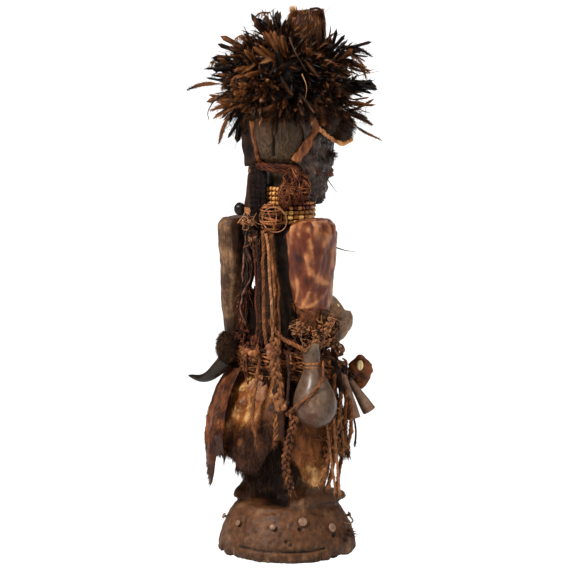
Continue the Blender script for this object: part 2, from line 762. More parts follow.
# Finishes with fixed colours: name, dark, middle and pale colour, scale, contrast, and what else they have
WOVEN = {"fibres": 700}
FIXED_FINISHES = (
    ("pale_fibre:plait", (0.024, 0.009, 0.004), (0.20, 0.082, 0.034), (0.62, 0.33, 0.16), 260, 0.95,
     {"roughness": 0.66, **WOVEN}),
    ("fibre:plait", (0.024, 0.008, 0.004), (0.185, 0.070, 0.028), (0.56, 0.27, 0.12), 260, 0.95,
     {"roughness": 0.68, **WOVEN}),
    ("red_fibre", (0.02, 0.005, 0.003), (0.115, 0.034, 0.014), (0.38, 0.15, 0.055), 240, 0.8,
     {"roughness": 0.68, **WOVEN}),
    ("grey_hide", (0.010, 0.006, 0.004), (0.052, 0.030, 0.020), (0.17, 0.110, 0.080), 120, 0.9,
     {"roughness": 0.42, "bump": 0.7, "Coat_Weight": 0.15, "Coat_Roughness": 0.3}),
    ("red_hide:amber", (0.035, 0.010, 0.004), (0.19, 0.062, 0.019), (0.52, 0.25, 0.095), 120, 0.75,
     {"roughness": 0.5, "Coat_Weight": 0.1, "Coat_Roughness": 0.4}),
    ("iron", (0.030, 0.017, 0.011), (0.175, 0.100, 0.068), (0.38, 0.235, 0.16), 160, 0.8,
     {"roughness": 0.55, "tone": 0.64, "dust": 0.4, "Metallic": 0.3}),
    ("horn", (0.008, 0.006, 0.005), (0.030, 0.019, 0.013), (0.16, 0.095, 0.05), 150, 0.5,
     {"stretch": (1.0, 0.5, 1.0), "roughness": 0.36, "bump": 0.3}),
    ("glass_bead", (0.09, 0.032, 0.010), (0.42, 0.19, 0.05), (0.80, 0.50, 0.17), 170, 0.35,
     {"roughness": 0.3, "bump": 0.12, "Coat_Weight": 0.3, "Coat_Roughness": 0.2}),
    ("red_bead", (0.030, 0.005, 0.003), (0.17, 0.032, 0.014), (0.56, 0.27, 0.08), 170, 0.3,
     {"roughness": 0.32, "bump": 0.12, "Coat_Weight": 0.3, "Coat_Roughness": 0.2}),
    ("shell", (0.35, 0.20, 0.07), (0.72, 0.55, 0.28), (0.88, 0.78, 0.52), 220, 0.4,
     {"roughness": 0.3, "bump": 0.1, "tone": 0.6, "Coat_Weight": 0.3}),
)


def build_finishes():
    """All materials, each under its slot's name, with a suffix where a slot has more than one."""
    GROUPS.update(weathered=weathered_group(), dust=dust_group())
    fibre, hide, feather = setting("fibre"), setting("hide"), setting("feather")
    plain, pale, dark, red, gold, brown, skin = map(
        tuple, (fibre.plain, fibre.pale, fibre.dark, hide.red, hide.gold, hide.brown, hide.pale)
    )
    weathered("fibre", shaded(plain, 0.10), plain, shaded(plain, 2.9), 260, 0.95, roughness=0.7, **WOVEN)
    weathered("pale_fibre", shaded(pale, 0.10), pale, shaded(pale, 2.1), 240, 0.95, roughness=0.68, **WOVEN)
    weathered("dark_fibre", shaded(dark, 0.2), dark, (0.24, 0.12, 0.08), 240, 0.8, roughness=0.74, **WOVEN)
    weathered("brown_pelt", shaded(brown, 0.2), brown, (0.25, 0.125, 0.06), 120, 0.6, roughness=0.55)
    weathered("gold_pelt", (0.040, 0.015, 0.007), gold, (0.56, 0.33, 0.14), 100, 0.85, roughness=0.46)
    weathered("red_hide:plain", shaded(red, 0.2), red, skin, 110, 0.5, roughness=0.44, bump=0.7,
              Coat_Weight=0.15, Coat_Roughness=0.4)
    weathered("feather", tuple(feather.black), tuple(feather.rust), tuple(feather.tan), 130, 0.22,
              roughness=0.42, bump=0.15)
    for *looks, more in FIXED_FINISHES:
        weathered(*looks, **more)
    wood_finish()
    gourd_finish()


def wood_finish():
    """Dark handled wood: crust in the hollows, rubbed forms, long grain, checks and dust."""
    look = setting("wood")
    tree, shader, lift = weathered(
        "wood", tuple(look.crust), tuple(look.body), tuple(look.worn), 105, 0.78, roughness=0.56, bump=0.8
    )
    base = shader.inputs["Base Color"].links[0].from_socket
    place = spots_in(tree)
    grain = noise_at(tree, spots_in(tree, (1.0, 1.0, 0.07)), 330.0, 4.0, 0.6)
    streaked = mixed(tree, ranged(tree, grain, 0.35, 0.7, 0.0, 0.55), base, tuple(look.crust))
    olive = mixed(tree, ranged(tree, grain, 0.3, 0.72), (0.022, 0.014, 0.008), (0.150, 0.090, 0.046))
    back = mixed(tree, tone_of(tree, "olive"), streaked, olive)
    dusty = grouped(tree, "dust", {
        "Vector": place, "Color": back, "Dust": (*tuple(look.dust), 1.0), "Amount": 1.0, "Scale": 70.0,
    })
    settled = mixed(tree, tone_of(tree, "dusty"), back, dusty["Color"])
    split = mixed(tree, tone_of(tree, "split"), settled, (0.004, 0.003, 0.002))
    tree.links.new(split, shader.inputs["Base Color"])
    height = lift.inputs["Height"].links[0].from_socket
    tree.links.new(sums(tree, "ADD", height, sums(tree, "MULTIPLY", grain, 0.8)), lift.inputs["Height"])


def gourd_finish():
    """A handled gourd: grey-brown skin with a soft gloss and spreading reddish stains."""
    tree, shader, _ = weathered(
        "gourd", (0.026, 0.015, 0.009), (0.112, 0.070, 0.046), (0.27, 0.185, 0.125), 30, 1.5, roughness=0.34,
        bump=0.12, tone=0.46, Coat_Weight=0.12, Coat_Roughness=0.22,
    )
    base = shader.inputs["Base Color"].links[0].from_socket
    place = spots_in(tree)
    stain = ranged(tree, noise_at(tree, place, 34.0, 8.0, 0.68), 0.47, 0.60, 0.0, 0.85)
    stained = mixed(tree, stain, base, (0.075, 0.028, 0.013))
    specks = ranged(tree, noise_at(tree, place, 260.0, 3.0, 0.6), 0.60, 0.72, 0.0, 0.6)
    speckled = mixed(tree, specks, stained, (0.035, 0.024, 0.018))
    tree.links.new(mixed(tree, tone_of(tree), speckled, (0.27, 0.205, 0.135)), shader.inputs["Base Color"])


# Carved wood ------------------------------------------------------------------------------------

# Splits in the wood: its line in millimetres, half its width and its depth
SPLITS = (
    ([(-33, 76, 780), (-31, 76, 764), (-30, 71, 752), (-24, 67, 737), (-19, 59, 724)], 2.6, 7.0),
    ([(7, 123, 24), (-26, 120, 22), (-51, 111, 21), (-83, 91, 21), (-105, 64, 21), (-118, 35, 24)], 1.7, 5.0),
    ([around(a, r, z) for a, r, z in ((70, 124, 12), (72, 118, 26), (70, 110, 42), (73, 103, 60))], 1.2, 3.5),
    ([around(a, r, z) for a, r, z in ((20, 100, 88), (21, 108, 60), (23, 115, 38))], 1.0, 2.5),
    ([(98, 20, 560), (97, 22, 520), (97, 20, 470), (96, 22, 430)], 1.1, 2.0),
    ([(70, 56, 575), (72, 50, 530), (70, 48, 500)], 1.2, 2.5),
)
# Pits, as (place, radius, depth)
PITS = (
    ((-86, 66, 60), 4.0, 5.0), ((-116, 7, 43), 4.5, 5.0), ((-74, 91, 39), 3.0, 4.0), ((-82, 87, 34), 3.2, 4.0),
    (around(10, 112, 52), 2.5, 2.5), (around(-12, 108, 58), 3.0, 3.0), (around(100, 118, 30), 5.0, 4.0),
)


def carve_figure():
    look = setting("wood")
    made = placed("carved_wood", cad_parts["carved_figure"].data.copy())
    pick_only(made)
    bpy.ops.object.mode_set(mode="EDIT")
    bpy.ops.mesh.select_all(action="SELECT")
    bpy.ops.mesh.remove_doubles(threshold=0.00005)
    bpy.ops.object.mode_set(mode="OBJECT")
    modified(made, ("REMESH", {"mode": "VOXEL", "voxel_size": look.grain, "use_smooth_shade": True}),
             ("SMOOTH", {"factor": 0.5, "iterations": 5}))
    mesh = made.data
    spots, ways = spots_of(mesh), read(mesh, "normal")
    x, y, z = spots.T
    radius = np.hypot(x, y)
    cuts = np.abs(lumps(spots * (1, 1, 0.55), 13.0)) + 0.5 * np.abs(lumps(spots * (1, 1, 0.5), 6.5, 3.3))
    depth = look.adze / MM * (0.9 - 1.5 * cuts) + 0.35 * lumps(spots * (1, 1, 0.3), 3.6)
    on_base = 1 - ease(z, 88, 96)
    depth += on_base * 1.3 * lumps(spots, 8.0, 5.1)
    rim = (1 - ease(z, 8, 26)) * ease(lumps(spots * (1, 1, 0.4), 15.0, 2.0), 0.05, 0.5) * ease(radius, 90, 112)
    depth -= 5.0 * rim
    split = zeros(len(spots))
    for line, width, deep in SPLITS:
        gone = hump(from_line(spots, array(line, float)), width)
        depth -= deep * gone
        split = maximum(split, gone)
    for place, wide, deep in PITS:
        gone = hump(norm(spots - place, axis=1), wide, 4)
        depth -= deep * gone
        split = maximum(split, 0.85 * gone)
    moved = spots + ways * depth[:, None]
    in_sight = spots @ RIGHT
    sole = ease(z, 93, 98) * (1 - ease(z, 122, 146)) * ease(radius, 62, 84) * ease(np.abs(in_sight), 50, 84)
    moved += unit(spots * (1, 1, 0)) * (9.0 * sole * ease(spots @ NEAR, -40, 20))[:, None]
    forearm = ease(x, 58, 74) * ease(z, 376, 400) * ease(y, -24, 12) * (1 - ease(z, 440, 540))
    moved -= RIGHT * (9.0 * forearm)[:, None]
    moved[:, 2] = maximum(moved[:, 2], 0.0)
    patchy = lumps(spots, 34.0, 1.7)
    left_arm = ease(x, 62, 74) * ease(z, 400, 430) * (1 - ease(z, 640, 660))
    head = ease(z, 684, 700)
    belly = ease(-y, 20, 48) * ease(z, 366, 390) * (1 - ease(z, 474, 492)) * ease(radius, 70, 84)
    low = belly * (1 - ease(z, 418, 440))
    feet = (1 - ease(z, 150, 215))
    lit = hump(in_sight + 42, 12) * hump(z - 770, 16)
    tone = 0.17 + 0.10 * patchy + 0.50 * left_arm + (1.2 + 0.5 * patchy) * (belly - low) + 0.7 * low
    tone += 0.40 * feet + 0.08 * head + 0.4 * lit * head
    olive = head * (0.72 + 0.25 * patchy) * (1 - 0.7 * lit) * ease(y, -20, 15)
    olive += 0.5 * (1 - head) * ease(z, 655, 690) + 0.15 * low
    dusty = 0.85 * feet + 0.2 * left_arm + 0.1 * belly
    move_to(mesh, moved, tone=tone, olive=olive, dusty=dusty, split=split)
    smooth(mesh)
    settle(made, "wood", "carved_figure")


class FIGURE_OT_carved_wood(bpy.types.Operator):
    """Carves the wooden figure and its base with adze marks, splits and chips"""

    bl_idname = "figure.carved_wood"
    bl_label = "Carved figure"

    def execute(self, context):
        carve_figure()
        return {"FINISHED"}


# Nails in the base: angle and the head's width
NAILS = ((55, 16), (84, 16), (-11, 11), (27, 11), (-47, 11), (128, 11))
# How much the base's radius grows from its top to its foot
BASE_FLARE = (252 - 176) / 2
# Thorns and splinters, each with its start, end and thickness in the photograph's view
SPLINTERS = (
    ((64, 4, 690), (90, -2, 652), 3.0), ((62, 2, 709), (82, 2, 702), 2.4), ((66, 0, 701), (80, 0, 694), 2.0),
    ((88, 24, 556), (122, 18, 548), 2.6),
)


def forge_nails():
    for i, (angle, head) in enumerate(NAILS, 1):
        packed = spots_of(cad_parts[f"base_nail_{i}"].data)
        out = unit(around(angle, 1.0, 0.0) + BASE_FLARE / BASE_TOP * SKY)
        place = packed.mean(axis=0)
        place = place + out * ((packed @ out).max() - place @ out - 7.0)
        profile = [(0, -14), (2.2, -14), (2.4, 3.4), (head / 2 - 0.8, 3.6), (head / 2, 4.6),
                   (head / 2 - 0.6, 6.2), (head / 4, 7.4), (0, 7.6)]
        domed = spun(f"iron_nail_{i}", profile, 24, place, out)
        push(domed, 0.5 * lumps(spots_of(domed.data), 3.0))
        settle(domed, "iron", f"base_nail_{i}")
    tacks = (("belly_tack", (-46, -89, 442), 3.4, "shell"), ("belly_nail", (-81, -54, 414), 6.4, "iron"))
    for name, place, radius, finish in tacks:
        out = unit(array(place, float) - (0, -72, 410))
        profile = [(0, -8), (1.2, -8), (1.4, 0), (radius, 0.2), (radius * 0.85, 1.8), (0, 3.0)]
        settle(spun(name, profile, 18, place, out), finish)
    bits = Skein(5)
    bent = in_view(101, 42, 57)
    bits.tube(curve([bent, bent + RIGHT * 13 - SKY, bent + RIGHT * 18 + SKY * 4, bent + RIGHT * 11 + SKY * 14], 2),
              1.6, 6)
    bits.piece("bent_nail", "iron")
    chips = Skein(6)
    root = in_view(108, 52, 42)
    for k in range(5):
        way = unit(RIGHT + SKY * (-0.55 + 0.2 * k) + NEAR * 0.1 * k)
        chips.spikes((root + SKY * (k - 2) * 2)[None], way[None], 22 - 3 * abs(k - 2), 6.0, tone=0.5)
    for start, end, wide in SPLINTERS:
        start, end = in_view(*start), in_view(*end)
        line = curve([start, (start + end) / 2 - SKY * 1.5, end], 3)
        chips.tube(line, linspace(wide / 2, 0.3, len(line)), 5, tone=0.45)
    chips.piece("thorns_and_splinters", "wood")


class FIGURE_OT_nails(bpy.types.Operator):
    """Forges the nails in the base, the tacks in the belly and the thorns and splinters"""

    bl_idname = "figure.nails"
    bl_label = "Nails, tacks and splinters"

    def execute(self, context):
        forge_nails()
        return {"FINISHED"}


# Head and headdress -----------------------------------------------------------------------------

FEATHER_CENTRE = array([0.0, 0.0, 848.0])
FEATHER_HALF = array([120.0, 120.0, 84.0])
# Tones of black, dark brown, brown and rust bunches, and the share of each
FEATHER_TONES = (0.01, 0.06, 0.17, 0.36)
FEATHER_SHARES = (0.57, 0.24, 0.11, 0.08)

# Bunches with a place of their own: root and tip as (right, near, z) in the photograph's view, number of
# feathers, tone, how much paler their tips are, spread
TUFTS = (
    ((-22, 0, 918), (-52, 2, 972), 24, 0.02, 0.25, 0.4), ((-8, 6, 920), (-20, 6, 970), 16, 0.03, 0.2, 0.35),
    ((-52, 10, 893), (-96, 12, 932), 15, 0.08, 0.5, 0.3), ((-66, 12, 896), (-118, 14, 908), 9, 0.18, 0.1, 0.2),
    ((-82, 12, 884), (-138, 14, 886), 14, 0.04, 0.55, 0.26),
    ((-72, 40, 826), (-132, 48, 804), 15, 0.27, 0.25, 0.24), ((66, 0, 884), (102, -4, 932), 16, 0.03, 0.2, 0.34),
    ((88, -6, 905), (146, -10, 902), 9, 0.03, 0.1, 0.22), ((104, 0, 884), (142, 0, 868), 14, 0.2, 0.5, 0.3),
    ((98, -4, 838), (158, -8, 840), 12, 0.02, 0.05, 0.16), ((98, 2, 812), (146, 0, 810), 10, 0.3, 0.4, 0.2),
    ((92, 20, 806), (138, 18, 778), 10, 0.12, 0.3, 0.26), ((-84, 44, 806), (-100, 50, 752), 5, 0.02, 0.0, 0.22),
    ((20, 92, 836), (44, 104, 800), 12, 0.06, 0.25, 0.3),
)
# Long single feathers: route in the photograph's view, width, tone and tone of the tip
BLADES = (
    (((-112, 10, 848), (-150, 12, 847), (-179, 14, 837)), 9.5, 0.42, 0.02),
    (((-100, 50, 802), (-113, 56, 772), (-121, 60, 744)), 9.0, 0.3, 0.22),
    (((-78, 46, 824), (-110, 50, 813), (-137, 54, 803)), 10.0, 0.44, 0.3),
    (((98, 8, 804), (128, 5, 790), (153, 4, 773)), 12.0, 0.66, 0.08),
    (((112, -2, 778), (140, -5, 760), (171, -8, 745)), 5.5, 0.1, 0.6),
    (((98, -6, 916), (130, -8, 908), (153, -10, 894)), 7.5, 0.05, 0.12),
    (((96, 0, 836), (130, -4, 838), (160, -8, 842)), 9.0, 0.03, 0.03),
    (((56, 80, 834), (60, 84, 812), (63, 86, 794)), 10.0, 0.14, 0.22),
    (((-14, 100, 874), (-4, 106, 852), (10, 108, 834)), 9.0, 0.1, 0.26),
    (((-50, 86, 888), (-40, 90, 892), (-28, 90, 896)), 6.0, 0.72, 0.6),
    (((-78, 78, 874), (-66, 82, 880), (-56, 84, 888)), 6.0, 0.55, 0.65),
    (((30, 96, 896), (44, 98, 880), (58, 98, 862)), 6.0, 0.2, 0.12),
    (((-96, 46, 870), (-110, 48, 852), (-116, 48, 838)), 8.0, 0.12, 0.3),
    (((-20, 104, 822), (-34, 108, 812), (-52, 106, 808)), 6.0, 0.26, 0.2),
    (((70, 66, 868), (84, 62, 850), (96, 56, 836)), 9.0, 0.05, 0.3),
)
# Vanes whose barbs hang loose like a comb: route, length of the barbs, tone
COMBS = (
    (((-98, 52, 858), (-84, 58, 867), (-68, 62, 870)), 22.0, 0.62),
    (((-136, 12, 886), (-118, 14, 893), (-104, 16, 886)), 22.0, 0.7),
    (((112, 4, 900), (132, 2, 886), (139, 0, 862)), 20.0, 0.48),
    (((-60, 8, 962), (-48, 8, 973), (-30, 8, 974)), 14.0, 0.3),
    (((-92, 14, 928), (-80, 16, 934), (-70, 18, 926)), 16.0, 0.56),
)
QUILLS = (
    (((-18, 4, 930), (-24, 6, 958), (-31, 4, 976)), 1.9, 0.06),
    (((50, -4, 930), (62, -4, 966), (77, -4, 984)), 1.0, 0.6),
    (((4, 84, 934), (14, 104, 910), (34, 112, 876)), 2.0, 0.16),
    (((26, 106, 872), (34, 110, 850), (32, 110, 830)), 1.5, 0.78),
    (((-88, 34, 838), (-124, 40, 824), (-140, 44, 800), (-138, 44, 786)), 2.0, 0.02),
    (((90, 0, 850), (130, -2, 862), (166, -4, 870)), 1.1, 0.3),
    (((66, 0, 914), (84, 0, 930), (98, 2, 938)), 1.0, 0.1),
)


def outward(points, faces):
    """The triangles of one closed part, turned so that they face out of it."""
    a, b, c = (points[faces[:, k]] - points[faces].mean(axis=(0, 1)) for k in range(3))
    return faces if np.einsum("ij,ij->", a, cross(b, c)) > 0 else faces[:, ::-1]


def feather_template(seed, barbs=5):
    """A feather on (along, across, up): a folded vane and the loosened barbs at its sides, all closed."""
    pick = np.random.default_rng(seed)
    points = []
    for along, wide in ((0.0, 0.06), (0.40, 0.52), (0.88, 0.46)):
        wide *= pick.uniform(0.8, 1.2)
        points += [(along, -wide, 0.25 * wide), (along, 0.0, 0.05), (along, wide, 0.25 * wide), (along, 0.0, -0.05)]
    points.append((1.0, 0.0, 0.0))
    ring = arange(4)
    after = (ring + 1) % 4
    vane = [stack([ring + k, after + k, after + k + 4], axis=1) for k in (0, 4)]
    vane += [stack([ring + k, after + k + 4, ring + k + 4], axis=1) for k in (0, 4)]
    vane += [stack([ring + 8, after + 8, 0 * ring + 12], axis=1), array([(0, 3, 2), (0, 2, 1)])]
    faces = [outward(array(points), concatenate(vane))]
    for side in (-1, 1):
        for i in range(barbs):
            start = 0.10 + 0.72 * (i + pick.uniform(0, 0.6)) / barbs
            reach = side * pick.uniform(0.75, 1.3) * (1 - 0.35 * abs(2 * start - 0.9))
            fan = len(points) + array([(0, 2, 1), (0, 1, 3), (1, 2, 3), (2, 0, 3)])
            points += [(start, 0.1 * side, 0.05), (start + 0.035, 0.16 * side, 0.05), (start + 0.02, 0.12 * side, 0.13),
                       (min(1.1, start + pick.uniform(0.22, 0.36)), reach, pick.uniform(-0.3, 0.4))]
            faces.append(outward(array(points), fan))
    return array(points), concatenate(faces)


TEMPLATES = [feather_template(seed) for seed in range(5)]


def add_feathers(skein, roots, ways, faces_to, lengths, widths, curls, tones, tips):
    """Lays feathers in a skein: each has a root, a way, the way its flat side faces and its sizes."""
    ways = unit(ways)
    side = unit(cross(faces_to, ways))
    up = cross(ways, side)
    kinds = skein.random.integers(0, len(TEMPLATES), len(roots))
    sway = skein.random.normal(size=len(roots)) * 0.16
    for kind, (points, faces) in enumerate(TEMPLATES):
        pick = np.flatnonzero(kinds == kind)
        along, wide, high = (values[None, :, None] for values in points.T)
        size, bend = lengths[pick][:, None, None], along**2
        one, two, three = (way[pick][:, None] for way in (ways, side, up))
        spots = (
            roots[pick][:, None] + size * along * one
            + size * bend * (curls[pick][:, None, None] * three + sway[pick][:, None, None] * two)
            + widths[pick][:, None, None] * (wide * two + high * three)
        )
        tone = tones[pick][:, None] + (tips - tones)[pick][:, None] * along[..., 0] ** 2
        blocks = (arange(len(pick))[:, None, None] * len(points) + faces[None]).reshape(-1, 3)
        skein.add(spots, [blocks], tone.ravel())


def blade(skein, route, width, tone, tip_tone):
    """A long single feather along a curve: a thin vane with loosened barbs at both edges."""
    line = curve_seen(route)
    share = shares(line)
    ahead = unit(np.gradient(line, axis=0))
    vane = 0.38 * width * (0.14 + 0.86 * ease(share, 0.08, 0.4)) * (1 - 0.9 * share**4)
    shade = tone + (tip_tone - tone) * share**2
    skein.tube(line, vane, 6, 0.16, cross(NEAR, ahead[0]), shade)
    at_spot = skein.random.integers(len(line) // 8, len(line) - 1, 150)
    edge = skein.random.choice([-1, 1], (150, 1)) * cross(NEAR, ahead[at_spot])
    ways = edge + 1.1 * ahead[at_spot] + 0.2 * skein.scatter(150)
    skein.spikes(line[at_spot], ways, vane[at_spot] * 1.9 + 2.5, 0.7, 0.0, shade[at_spot], shade[at_spot] + 0.1)


def bunch(ball, down, root, lean, count, reach, tone, paler, spread, kept=True):
    """Feathers that share a root, a lean and a colour, with finer barbs that stand out of them."""
    pick = ball.random
    roots = root + ball.scatter(count) * 6
    ways = unit(unit(lean) + ball.scatter(count) * spread)
    flat = unit(unit(root - FEATHER_CENTRE) + ball.scatter(count) * 0.8)
    lengths = reach * pick.uniform(0.62, 1.12, count)
    beyond = norm((roots + ways * lengths[:, None] - FEATHER_CENTRE) / FEATHER_HALF, axis=1)
    lengths = where(kept & (beyond > 1.06), lengths * 0.76, lengths)
    tones = clip(tone + pick.normal(size=count) * 0.05, 0, 1)
    tips = clip(tones + paler * pick.choice([0.0, 0.5, 1.0], count, p=[0.45, 0.3, 0.25]), 0, 1)
    widths = lengths * pick.uniform(0.09, 0.18, count)
    add_feathers(ball, roots, ways, flat, lengths, widths, pick.uniform(-0.45, 0.25, count), tones, tips)
    hairs = 5 * count
    chosen = pick.integers(0, count, hairs)
    start = roots[chosen] + ways[chosen] * lengths[chosen, None] * pick.uniform(0.2, 0.95, (hairs, 1))
    hair = lengths[chosen] * pick.uniform(0.2, 0.55, hairs)
    down.spikes(start, ways[chosen] + 0.6 * ball.scatter(hairs), hair, pick.uniform(0.45, 0.85, hairs),
                -SKY * hair[:, None] * 0.25, tones[chosen], tips[chosen])


def tie_headdress():
    look = setting("feather")
    core = Skein(20)
    core.ball(FEATHER_CENTRE, FEATHER_HALF * 0.66, 30, 48, 9.0, 22.0, 0.03)
    core.piece("headdress_bundle", "feather")
    ball, down = Skein(21), Skein(23)
    pick = ball.random
    for i in range(look.clumps):
        rise = 1 - 2 * (i + 0.5) / look.clumps
        if rise < -0.62:
            break
        turn = math.pi * (3 - math.sqrt(5)) * i
        wide = math.sqrt(1 - rise**2)
        out = array([wide * math.cos(turn), wide * math.sin(turn), rise])
        root = FEATHER_CENTRE + FEATHER_HALF * out * pick.uniform(0.44, 0.66)
        swirl = drift(root, 46.0, 3.0, 7.0, 11.0)
        lean = out + 1.3 * swirl + 0.25 * pick.normal(size=3) - (0.1 + 0.3 * (rise < -0.2)) * SKY
        tone = pick.choice(FEATHER_TONES, p=FEATHER_SHARES)
        bunch(ball, down, root, lean, int(pick.integers(10, 17)), look.reach / MM, tone,
              pick.choice([0.0, 0.2, 0.5]), 0.34)
    for root, tip, count, tone, paler, spread in TUFTS:
        start, end = in_view(*root), in_view(*tip)
        bunch(ball, down, start, end - start, count, norm(end - start), tone, paler, spread, False)
    for route, barb, tone in COMBS:
        line = curve_seen(route, 1.0)
        down.tube(line, 1.5, 5, tone=tone - 0.1)
        ways = -SKY + 0.2 * down.scatter(len(line)) + 0.25 * unit(line - FEATHER_CENTRE)
        down.spikes(line, ways, barb * down.random.uniform(0.5, 1.1, len(line)), 1.1, 0.0, tone, tone + 0.1)
    wisps = in_view(-84, 40, 800) + down.scatter(260) * (9, 9, 14)
    down.spikes(wisps, -SKY + 0.9 * down.scatter(260) - 0.3 * RIGHT, 26, 0.7, 12 * down.scatter(260), 0.02)
    ball.piece("headdress_feathers", "feather", "feather_headdress")
    down.piece("headdress_barbs", "feather")
    loose = Skein(22)
    for single in BLADES:
        blade(loose, *single)
    for route, thick, tone in QUILLS:
        line = curve_seen(route)
        loose.tube(line, linspace(thick, thick * 0.3, len(line)), 5, tone=tone)
    loose.piece("loose_feathers", "feather")


class FIGURE_OT_headdress(bpy.types.Operator):
    """Ties the bunches of feathers into the ball of the headdress"""

    bl_idname = "figure.headdress"
    bl_label = "Feather headdress"

    def execute(self, context):
        tie_headdress()
        return {"FINISHED"}


# Levels of the crown's hide: height, half its width and depth, and its shift to the left
CROWN_LEVELS = ((744, 20, 20, -14), (790, 34, 24, -22), (835, 36, 22, -29), (868, 34, 16, -32), (886, 25, 9, -37))


def hoop_line(centre, half_width, half_depth, drop):
    """A ring round the body that lies lower at the front."""
    turn = radians(linspace(0, 360, 121))
    z = -drop * (1 - cos(turn)) / 2
    return above_base(stack([-half_width * sin(turn), half_depth * cos(turn), z], axis=1) + centre)


def fold_crown_hide():
    """A folded piece of hide that stands up behind the crown, with long fur on its left."""
    share, turn = linspace(0, 1, 40), turns(64)
    z, width, depth, shift = (column[:, None] for column in levels_at(share, CROWN_LEVELS))
    share = share[:, None]
    right = shift + 0.96 * width * squared(cos(turn), 0.75)
    height = BASE_TOP + z - 17 * share**4 * ease(right, -34, 16)
    spots = right[..., None] * -RIGHT + (depth * sin(turn))[..., None] * NEAR + height[..., None] * SKY
    out = unit(spots - spots.mean(axis=1, keepdims=True))
    folds = 3.4 * sin(7 * turn + 6.6 * share) + 2.5 * lumps(spots, 14) + 1.4 * lumps(spots * (1, 1, 0.3), 5)
    spots = spots + out * folds[..., None] * 1.15
    leftness = ease(right, -34, 6)
    tone = 0.10 + 0.24 * leftness + 0.30 * lumps(spots * (1, 1, 0.25), 7) + 0.14 * lumps(spots, 16)
    hide = Skein(30)
    hide.grid(spots[:, ::-1], tone[:, ::-1], wraps=True, capped=True)
    hide.piece("crown_hide", "gold_pelt", "crown_hide_tuft")
    fur = Skein(31)
    rows, columns = fur.random.integers(8, 39, 5200), fur.random.integers(0, 64, 5200)
    keep = fur.random.random(5200) < leftness[rows, columns] + 0.5 * (rows > 34) + 0.16
    rows, columns = rows[keep], columns[keep]
    roots, away, count = spots[rows, columns], out[rows, columns], len(rows)
    comb = drift(roots, 22, 2, 5, 8)
    ways = away * 0.45 - SKY * 0.8 - 0.45 * RIGHT + 0.55 * comb + 0.12 * fur.scatter(count)
    ways = where((rows > 35)[:, None], away * 0.3 + SKY * 0.7 + 0.8 * comb, ways)
    tone = 0.46 + 0.36 * lumps(roots, 8) + 0.18 * fur.random.normal(size=count)
    lengths = fur.random.uniform(12, 27, count) * where(rows > 35, 0.5, 1)
    fur.spikes(roots, ways, lengths, fur.random.uniform(0.9, 1.8, count), -SKY * 5, tone - 0.1, tone + 0.2)
    edge = curve_seen([(40, 8, 980), (56, 8, 981), (64, 6, 972), (65, 6, 905)])
    fur.tube(edge, 2.4 + 0.5 * lumps(edge, 8), 8, tone=0.02)
    tuft = in_view(15, 10, 972) + fur.scatter(90) * 3
    fur.spikes(tuft, SKY - 0.5 * RIGHT + 0.35 * fur.scatter(90), 15, 1.2, 0.0, 0.2, 0.95)
    fur.piece("crown_hide_fur", "gold_pelt")


def strap(name, finish, line, width, thick, side, tone, *nodes):
    """A strip of hide along a line, creased along its length."""
    strip = Skein(33)
    strip.tube(line, width / 2 * (1 + 0.12 * lumps(line, 12)), 28, thick, side, tone + 0.2 * lumps(line, 9))
    made = strip.piece(name, finish, *nodes)
    spots = spots_of(made.data)
    crease = lumps(spots * (1, 1, 0.3), 4.5)
    push(made, 1.5 * crease + 0.9 * lumps(spots, 9), tone=tone + 0.28 * crease + 0.16 * lumps(spots, 12))


def lay_straps():
    amber = "red_hide:amber"
    rim = curve_seen([(-62, 61, 786), (-58, 57, 753), (-51, 35, 717), (-42, 27, 702)])
    strap("left_temple_edge", amber, rim, 7, 0.7, RIGHT, 0.36)
    left = curve_seen([(-67, 38, 806), (-66, 37, 772), (-63, 30, 738), (-57, 18, 706)])
    right = curve(above_base([(-43, 38, 717), (-68, 20, 700), (-72, 8, 680), (-67, 22, 656), (-50, 36, 622)]), 3)
    strap("left_temple_hide", "brown_pelt", left, 34, 0.5, RIGHT, 0.30, "left_temple_strap")
    strap("right_temple_hide", amber, right, 17, 0.42, RIGHT, 0.42, "right_temple_strap")
    edge = curve_seen([(30, 60, 802), (54, 50, 774), (78, 28, 753), (101, 8, 741), (116, 0, 749)])
    strap("brow_hide_edge", amber, edge, 8, 0.6, SKY, 0.86)
    lump = Skein(34)
    places = in_view(97, 4, 772), in_view(72, 20, 784)
    lump.ball(places[0], (22, 20, 30), 20, 28, 4.0, 10.0, 0.3)
    lump.ball(places[1], (26, 24, 26), 20, 28, 4.0, 10.0, 0.2)
    for roots in places:
        out = unit(lump.scatter(500))
        shade = 0.12 + 0.3 * lump.random.random(500) ** 2
        lump.spikes(roots + out * 19, out + 0.7 * RIGHT - SKY, 14, 1.1, 0.0, shade, shade + 0.3)
    lump.piece("brow_hide_roll", "brown_pelt")


def sheet_sizes(spots):
    """The widest row and the longest column of a sheet in metres, and its area in square metres."""
    rows, columns = diff(spots, axis=1), diff(spots, axis=0)
    wide = norm(rows, axis=-1).sum(axis=1).max()
    down = norm(columns, axis=-1).sum(axis=0).max()
    area = norm(cross(columns[:, :-1], rows[:-1]), axis=-1).sum()
    return (float(wide) * MM, float(down) * MM), float(area) * MM * MM


